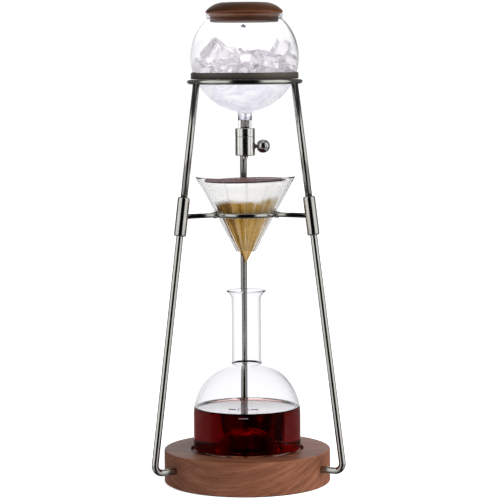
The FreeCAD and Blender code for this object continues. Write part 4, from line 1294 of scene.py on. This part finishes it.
# %% Coffee grounds
grounds_slope_gap = 0.3 * MM
inner_top = paper_reach(GROUNDS_TOP) - PAPER_WALL - grounds_slope_gap
grounds = lathe("coffee_grounds", [
    (0, paper_low.z + (PAPER_WALL + grounds_slope_gap) / paper_slope),
    (inner_top, GROUNDS_TOP),
    (inner_top * 0.85, GROUNDS_TOP + 0.8 * MM),
    (inner_top * 0.6, GROUNDS_TOP - 1.0 * MM),
    (inner_top * 0.3, GROUNDS_TOP - 2.5 * MM),
    (0, GROUNDS_TOP - 3.0 * MM)], 96, crease=60.0)
grounds_material, shader, place = new_material("coffee_grounds")
crumbs = add_node(place.id_data, "ShaderNodeTexVoronoi", Vector=place, Scale=900.0).outputs["Distance"]
mottle = speckle(place, 400.0, 5.0)
fill(shader, Roughness=0.45,
     Base_Color=ramp(mottle, (0.3, (0.010, 0.004, 0.002)), (0.7, (0.055, 0.022, 0.010))))
bump(shader, math_node("SUBTRACT", mottle, crumbs), 0.6 * MM)
paint(grounds, grounds_material)
print("grounds up to", round(GROUNDS_TOP / MM), "mm")

# %% [markdown]
# ## Disperser disc
# Drops fall on a thin brown disc full of small holes that spreads them over the coffee. The holes stand
# in rings of 6, 12, 18 and 24, so the nodes draw one ring per row, fill the outline with the holes left
# out and push the sheet up to its thickness.

# %% Disperser disc
HOLE_ROWS = 4
HOLE_RADIUS = 1.1 * MM
HOLE_PITCH = 10.0 * MM
DISC_THICKNESS = 1.4 * MM
DISC_TILT = math.radians(1.3)
disc_radius = (disc_high.y - disc_low.y) / 2
disc_bottom = (disc_low.z + disc_high.z - DISC_THICKNESS * math.cos(DISC_TILT)) / 2
disc_tree, disc_in = group_with("pierced_disc", {
    "Radius": ("Float", 0.05), "Hole radius": ("Float", 0.001), "Pitch": ("Float", 0.01),
    "First row": ("Int", 6), "Thickness": ("Float", 0.001), "Material": ("Material", None)})
rim = add_node(disc_tree, "GeometryNodeCurvePrimitiveCircle", Resolution=160, Radius=disc_in["Radius"])
hole = add_node(disc_tree, "GeometryNodeCurvePrimitiveCircle", Resolution=16, Radius=disc_in["Hole radius"])
outlines = [rim.outputs["Curve"], hole.outputs["Curve"]]
for row in range(1, HOLE_ROWS + 1):
    guide = add_node(disc_tree, "GeometryNodeCurvePrimitiveCircle",
                     Resolution=product(disc_in["First row"], float(row)),
                     Radius=product(disc_in["Pitch"], float(row)))
    pierced = add_node(disc_tree, "GeometryNodeInstanceOnPoints", Points=guide.outputs["Curve"],
                       Instance=hole.outputs["Curve"])
    outlines.append(add_node(disc_tree, "GeometryNodeRealizeInstances",
                             Geometry=pierced.outputs["Instances"]).outputs["Geometry"])
joined = gather(disc_tree, "GeometryNodeJoinGeometry", "Geometry", outlines)
sheet = add_node(disc_tree, "GeometryNodeFillCurve", Curve=joined.outputs["Geometry"])
thick = add_node(disc_tree, "GeometryNodeExtrudeMesh", Mesh=sheet.outputs["Mesh"], Offset=(0.0, 0.0, 1.0),
                 Offset_Scale=disc_in["Thickness"], Individual=False)
close_sheet = add_node(disc_tree, "GeometryNodeFlipFaces", Mesh=sheet.outputs["Mesh"])
both = gather(disc_tree, "GeometryNodeJoinGeometry", "Geometry",
              (thick.outputs["Mesh"], close_sheet.outputs["Mesh"]))
close_tree(disc_tree, both.outputs["Geometry"], disc_in["Material"])
print("disc tree has", len(disc_tree.nodes), "nodes")

# %% [markdown]
# The disc is made of dark brown plastic with fine scratches, and darker where its edge was cut. It lies a
# degree and a bit out of level, as a loose disc on folded paper does.

# %% Disc material and place
disc_material, shader, place = new_material("disperser_brown")
ring_scratch = speckle(stretched(place, (160.0, 160.0, 20.0)), 1.0, 4.0)
disc_face = ramp(ring_scratch, (0.3, (0.080, 0.020, 0.022)), (0.7, (0.13, 0.038, 0.038)))
cut_edge = between(from_axis(place)[0], disc_radius - 0.5 * MM, disc_radius - 0.1 * MM, 0.0, 1.0)
fill(shader, Base_Color=mixed(cut_edge, disc_face, (0.018, 0.006, 0.006)),
     Roughness=between(ring_scratch, 0.3, 0.7, 0.50, 0.65), Specular_IOR_Level=0.12)
disc = grow("disc_pierced", disc_tree, Radius=disc_radius, Hole_radius=HOLE_RADIUS, Pitch=HOLE_PITCH,
            First_row=6, Thickness=DISC_THICKNESS, Material=disc_material)
disc.data.transform(Matrix.Translation((0, 0, disc_bottom)) @ Matrix.Rotation(-DISC_TILT, 4, "Y"))
print("disc:", len(disc.data.polygons), "faces")

# %% [markdown]
# ## Flask
# The flask is blown: straight sides, a domed shoulder, a neck that was drawn out and flared, and a floor
# pushed up so that it stands on a ring. The walls are one closed profile, inside and outside together.

# %% Flask
FLASK_WALL = 2.3 * MM
FLASK_FLOOR = 5.5 * MM
NECK_WALL = 2.0 * MM
FLASK_NECK = 17.4 * MM
LIP_HEIGHT = 8.0 * MM
LIP_LAND = 1.6 * MM
SHOULDER = 44.8 * MM
PUNT_RADIUS = 24.5 * MM
PUNT_HEIGHT = 28.0 * MM
LIP_RADIUS = 22.8 * MM
flask_radius = max(flask_high.x, flask_high.y)
floor = flask_low.z
rim_top = flask_high.z
dome = floor + SHOULDER
flask_bore = flask_radius - FLASK_WALL
neck_bore = FLASK_NECK - NECK_WALL
punt_arc = (PUNT_HEIGHT ** 2 + PUNT_RADIUS ** 2) / (2 * PUNT_HEIGHT)
punt_centre = floor + PUNT_HEIGHT - punt_arc
inner_floor = floor + FLASK_FLOOR


def punt_foot(radius, height):
    """Where a bow of that radius about the push-up's centre meets that height."""
    return math.sqrt(radius ** 2 - (height - punt_centre) ** 2)


flask = lathe("flask_blown", [
    (0, floor + PUNT_HEIGHT),
    bow((0, punt_centre), 28),
    (PUNT_RADIUS, floor, 2.5 * MM),
    (flask_radius, floor, 10.0 * MM),
    (flask_radius, dome),
    bow((0, dome), 48),
    (FLASK_NECK, dome + math.sqrt(flask_radius ** 2 - FLASK_NECK ** 2), 1.2 * MM),
    (FLASK_NECK, rim_top - LIP_HEIGHT, 4.0 * MM),
    (LIP_RADIUS, rim_top - LIP_LAND, 0.4 * MM),
    (LIP_RADIUS, rim_top, 0.7 * MM),
    (LIP_RADIUS - NECK_WALL, rim_top, 0.7 * MM),
    (neck_bore, rim_top - LIP_HEIGHT, 8.0 * MM),
    (neck_bore, dome + math.sqrt(flask_bore ** 2 - neck_bore ** 2), 1.0 * MM),
    bow((0, dome), 48),
    (flask_bore, dome),
    (flask_bore, inner_floor, 7.7 * MM),
    (punt_foot(punt_arc + FLASK_WALL, inner_floor), inner_floor, 2.0 * MM),
    bow((0, punt_centre), 28),
    (0, floor + PUNT_HEIGHT + FLASK_WALL)], 192, crease=40.0)
paint(flask, flask_glass)
print("flask is", round((rim_top - floor) / MM, 1), "mm high")

# %% [markdown]
# ## Graduation mark
# A mark in fired enamel shows how full the flask is: the volume between two ticks, and a short bar at the
# level itself. Letters come from a text object. Bending its mesh round the flask lays it on the glass.

# %% Graduation mark
ENAMEL = 0.06 * MM
LETTER_SIZE = 5.2 * MM
MARK_ASIDE = math.radians(-5.5)
LETTERS_UP = 92.4 * MM
ENAMEL_LIFT = 0.02 * MM
BAR_HEIGHT = 1.2 * MM
BARS = (  # millimetres aside, up and half the length
    (-13.0, 94.0, 4.5), (13.0, 94.0, 4.5), (0.0, 83.9, 5.5))
enamel = flecked("enamel", 800.0, (0.10, 0.08, 0.10), (0.15, 0.12, 0.15), Roughness=0.5)


def on_flask(across, up, out):
    """A point of a flat drawing, laid on the flask's domed side."""
    around = math.sqrt(flask_radius ** 2 - max(0.0, up - dome) ** 2) + out
    turn = MARK_ASIDE + across / flask_radius
    return Vector((around * math.sin(turn), -around * math.cos(turn), up))


def text_mesh(words, size):
    """The letters as a flat, solid mesh about the origin."""
    curve = bpy.data.curves.new("letters", "FONT")
    curve.body = words
    curve.size = size
    curve.align_x = "CENTER"
    curve.extrude = ENAMEL
    holder = bpy.data.objects.new("letters", curve)
    bpy.context.scene.collection.objects.link(holder)
    bpy.context.view_layer.update()
    mesh = bpy.data.meshes.new_from_object(holder.evaluated_get(bpy.context.evaluated_depsgraph_get()))
    bpy.data.objects.remove(holder)
    return mesh


marks = bmesh.new()
marks.from_mesh(text_mesh("500 ml", LETTER_SIZE))
bmesh.ops.remove_doubles(marks, verts=marks.verts, dist=1e-7)
for vert in marks.verts:
    vert.co.y += LETTERS_UP
for measures in BARS:
    aside, up, half = (MM * measure for measure in measures)
    bar_place = Matrix.Translation((aside, up, 0)) @ Matrix.Diagonal((2 * half, BAR_HEIGHT, 2 * ENAMEL, 1.0))
    made = bmesh.ops.create_cube(marks, size=1.0, matrix=bar_place)["verts"]
    long_edges = [edge for edge in edges_of(made)
                  if abs(edge.verts[0].co.x - edge.verts[1].co.x) > half]
    bmesh.ops.subdivide_edges(marks, edges=long_edges, cuts=7, use_grid_fill=True)
for vert in marks.verts:
    vert.co = on_flask(vert.co.x, vert.co.y, vert.co.z + ENAMEL_LIFT)
mark = finish_mesh("graduation_mark", marks)
paint(mark, enamel)
print("mark:", len(mark.data.polygons), "faces")

# %% [markdown]
# ## Brewed coffee
# The coffee fills the flask's lower part and climbs a little up the glass at its edge. A liquid in glass
# looks wrong if a film of air lies between them, so the coffee reaches a hair into the wall. Its colour
# comes from its depth: the shader takes light away along the path, so thin edges stay red.

# %% Coffee
COFFEE_LEVEL = 86.3 * MM
CLIMB = 2.4 * MM
SHORE_WIDTH = 3.4 * MM
SHORE_ROUND = 3.0 * MM
coffee_bore = flask_bore + SWALLOW
coffee_floor = inner_floor - SWALLOW
coffee_arc = punt_arc + FLASK_WALL - SWALLOW
shore = math.sqrt(coffee_bore ** 2 - (COFFEE_LEVEL + CLIMB - dome) ** 2)
coffee = lathe("brewed_coffee", [
    (0, floor + PUNT_HEIGHT + FLASK_WALL - SWALLOW),
    bow((0, punt_centre), 28),
    (punt_foot(coffee_arc, coffee_floor), coffee_floor, 2.0 * MM),
    (coffee_bore, coffee_floor, 7.7 * MM),
    (coffee_bore, dome),
    bow((0, dome), 8),
    (shore, COFFEE_LEVEL + CLIMB),
    (shore - SHORE_WIDTH, COFFEE_LEVEL, SHORE_ROUND),
    (0, COFFEE_LEVEL)], 192, crease=60.0)
coffee_material, shader, place = see_through("brewed_coffee", grey(1.0), 1.335)
bump(shader, speckle(place, 30.0, 2.0), 0.02 * MM)
deepen(shader, (0.86, 0.14, 0.08), 165.0)
paint(coffee, coffee_material)
print("coffee up to", round(COFFEE_LEVEL / MM, 1), "mm")

# %% [markdown]
# ## Which piece moves with what
# Each visible piece takes the place of the solids that it stands for, and rides on the body that they
# belong to, so that it moves with them.

# %% Slots, bodies and stand-ins
for piece, node, finish_name in stand_pieces:
    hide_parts(node)
    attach(piece, "stand")

plan = [
    (base, ["base_disc"], "walnut", "stand"),
    (globe, ["water_globe"], "clear_glass", "globe_unit"),
    (lid, ["globe_lid"], "walnut_lid", "lid"),
    (valve, ["valve_body"], "valve_chrome", "globe_unit"),
    (cap_nut, ["valve_cap_nut"], "valve_chrome", "globe_unit"),
    (nozzle, ["drip_nozzle"], "valve_chrome", "globe_unit"),
    (spigot, ["inlet_spigot"], "spigot_steel", "globe_unit"),
    (gland, ["packing_nut"], "valve_chrome", "globe_unit"),
    (stem, ["needle_spindle"], "spindle_steel", "knob"),
    (knob, ["knob_ball"], "knob_chrome", "knob"),
    (cone, ["dripper_cone"], "pressed_glass", "dripper"),
    (paper, ["paper_filter"], "filter_paper", "dripper"),
    (disc, ["disperser_disc"], "disperser_brown", "disperser"),
    (flask, ["flask"], "flask_glass", "flask"),
]
for piece, nodes, finish_name, body in plan:
    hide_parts(*nodes)
    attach(piece, body)
contents = ((ice, "globe_unit"), (water, "globe_unit"), (grounds, "dripper"), (coffee, "flask"),
            (mark, "flask"))
for piece, body in contents:
    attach(piece, body)

hidden_finish = {"base_pad": pad_rubber, "leg_screws": screw_steel, "stub_seal": seal_silicone,
                 "stub_washer": seal_silicone, "inlet_screen": spigot_steel, "spindle_seal_1": seal_silicone,
                 "spindle_seal_2": seal_silicone, "lid_gasket": gasket_silicone}
for node, material in hidden_finish.items():
    paint(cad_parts[node], material)
print(len(plan) + len(stand_pieces), "pieces stand for nodes")
print(len(hidden_finish), "nodes keep their own mesh")

# %% [markdown]
# ## Studio
# The tower stands on a white floor in front of a white backdrop. Polished metal and glass show the whole
# room, so the world is a small studio of its own, and gives each kind of ray what that kind needs. The
# floor is left out of mirrors and glass, which look past it at the world.

# %% Floor
FLOOR_HALF = 6.0
bpy.ops.mesh.primitive_plane_add(size=2 * FLOOR_HALF, location=(0, 0, 0))
ground = bpy.context.object
ground.name = "studio_floor"
paint(ground, flecked("studio_floor", 30.0, grey(0.74), grey(0.77), Roughness=0.6,
                      Specular_IOR_Level=0.0, Emission_Color=grey(1.0), Emission_Strength=0.80))
ground.visible_glossy = False
ground.visible_transmission = False
print("floor is", 2 * FLOOR_HALF, "m wide")

# %% [markdown]
# The world tells directions apart by two numbers. Azimuth runs from 0 behind the camera to 1 straight
# ahead of it, alike on both sides. Height runs from -1 straight down to 1 straight up.

# %% Directions in the world
world = bpy.data.worlds.new("studio")
world.use_nodes = True
tree = world.node_tree
rays = add_node(tree, "ShaderNodeLightPath").outputs
way = add_node(tree, "ShaderNodeTexCoord").outputs["Generated"]
ahead = add_node(tree, "ShaderNodeSeparateXYZ", Vector=way).outputs
level_out, rise = from_axis(way)
aside = math_node("ABSOLUTE", ahead["X"])
azimuth = math_node("ARCTAN2", aside, product(ahead["Y"], -1.0))
azimuth = math_node("DIVIDE", azimuth, math.pi)
height = math_node("DIVIDE", math_node("ARCTAN2", rise, level_out), math.pi / 2)


def grey_band(factor, *stops):
    """A ramp of greys through stops of (position, level), in the world's tree."""
    return ramp(factor, *[(position, grey(level)) for position, level in stops])


def dimmed(colour, low, high, below, above):
    """The colour times a share that goes from below to above between two heights."""
    return mixed(1.0, colour, between(height, low, high, below, above), "MULTIPLY")


print("directions take", len(tree.nodes), "nodes")

# %% [markdown]
# Mirrors need contrast: a dark room behind the camera, a tall bright lamp on either side, a dim stretch
# and then the backdrop. The ceiling is dark and so is the floor right below.

# %% What mirrors see
ROOM = 0.06
DIM = 0.18
mirror = grey_band(azimuth, (0.0, 0.0), (0.16, 0.0), (0.21, 1.7), (0.53, 1.9), (0.57, DIM), (0.86, DIM),
                   (0.92, 1.5), (1.0, 1.6))
mirror = dimmed(mirror, -0.14, -0.08, 0.5, 1.0)
mirror = mixed(between(height, 0.52, 0.62, 0.0, 1.0), mirror, grey(ROOM))
mirror = mixed(between(height, -0.60, -0.50, 1.0, 0.0), mirror, grey(0.10))
print("mirrors: room", ROOM, "and dim stretch", DIM)

# %% [markdown]
# Glass bends each ray a little, so its body looks straight ahead, at the bright backdrop, and its
# outline looks aside, at something greyer. That is how a photographer draws clear glass on white. The
# left side gets a touch more light, and what comes from high above is held back.

# %% What glass sees
sides = grey_band(azimuth, (0.0, 0.8), (0.12, 0.9), (0.2, 1.7), (0.50, 1.5), (0.64, 1.2), (0.75, 0.72),
                  (0.90, 0.78))
sides = dimmed(sides, -0.14, -0.10, 0.85, 1.0)
sides = dimmed(sides, 0.02, 0.07, 1.0, 0.32)
lit_left = product(between(ahead["X"], -0.4, 0.4, 0.75, 0.0),
                   between(height, -0.06, -0.02, 0.15, 1.0))
sides = mixed(lit_left, sides, grey(1.2))
sky = between(height, 0.02, 0.08, 1.10, 2.2)
through = mixed(between(azimuth, 0.90, 0.96, 0.0, 1.0), sides, sky)
through = mixed(between(height, 0.55, 0.80, 0.0, 1.0), through, grey(0.60))
print("the world has", len(tree.nodes), "nodes so far")

# %% [markdown]
# Matt surfaces get warm light from the right and a cool shade from the left, which models the wood and
# the ice. The camera itself sees only the white backdrop.

# %% One look for each kind of ray
COOL_SIDE = (0.12, 0.15, 0.22)
WARM_SIDE = (1.06, 1.04, 1.00)
BACKDROP = grey(1.02)
matt = mixed(between(ahead["X"], -0.3, 0.3, 0.0, 1.0), COOL_SIDE, WARM_SIDE)
look = BACKDROP
for ray, seen in (("Diffuse", matt), ("Glossy", mirror), ("Transmission", through), ("Camera", BACKDROP)):
    look = mixed(rays[f"Is {ray} Ray"], look, seen)
tree.links.new(look, tree.nodes["Background"].inputs["Color"])
tree.nodes["Background"].inputs["Strength"].default_value = 1.0
bpy.context.scene.world = world
print("the world has", len(tree.nodes), "nodes")


# %% [markdown]
# Two lamps finish the light: a strong one at the right, like a window, and a weak one above. They are
# seen neither directly nor in mirrors, because the world already paints the lamps that mirrors show.

# %% Lamps
LAMP_AIM = Vector((0, 0, 0.25))


def soft_lamp(name, place, size, power):
    """A large lamp that points at the tower and lights it without being seen."""
    lamp = bpy.data.lights.new(name, "AREA")
    lamp.shape = "RECTANGLE"
    lamp.size, lamp.size_y = size
    lamp.energy = power
    thing = bpy.data.objects.new(name, lamp)
    thing.location = place
    thing.rotation_euler = (LAMP_AIM - Vector(place)).to_track_quat("-Z", "Y").to_euler()
    thing.visible_camera = False
    thing.visible_glossy = False
    thing.visible_transmission = False
    bpy.context.scene.collection.objects.link(thing)
    return thing


soft_lamp("right_lamp", (1.6, -1.0, 1.1), (1.2, 1.4), 32.0)
soft_lamp("top_lamp", (0.0, -0.2, 2.0), (1.6, 1.6), 6.0)

# %% [markdown]
# ## Camera
# A long lens from two and a half metres keeps the tower's lines almost parallel. The camera stands a
# little to the left of the tower and above the middle of it, and looks slightly down.

# %% Camera
FRAME_WIDTH = 500
FOCAL_PIXELS = 2050
SENSOR = 36.0
CAMERA_DISTANCE = 2.3575
CAMERA_HEIGHT = 0.483
CAMERA_ASIDE = 4.8 * MM
ORBIT = math.radians(-1.7)
PITCH = math.radians(5.157)
ROLL = math.radians(0.4)

lens = bpy.data.cameras.new("camera")
lens.sensor_width = SENSOR
lens.lens = SENSOR * FOCAL_PIXELS / FRAME_WIDTH
lens.clip_end = 50.0
camera = bpy.data.objects.new("camera", lens)
camera.matrix_world = (Matrix.Rotation(ORBIT, 4, "Z")
                       @ Matrix.Translation((CAMERA_ASIDE, -CAMERA_DISTANCE, CAMERA_HEIGHT))
                       @ Matrix.Rotation(math.radians(90) - PITCH, 4, "X") @ Matrix.Rotation(-ROLL, 4, "Z"))
bpy.context.scene.collection.objects.link(camera)
bpy.context.scene.camera = camera
bpy.context.scene.view_settings.view_transform = "Standard"
print("lens", round(lens.lens, 1), "mm")
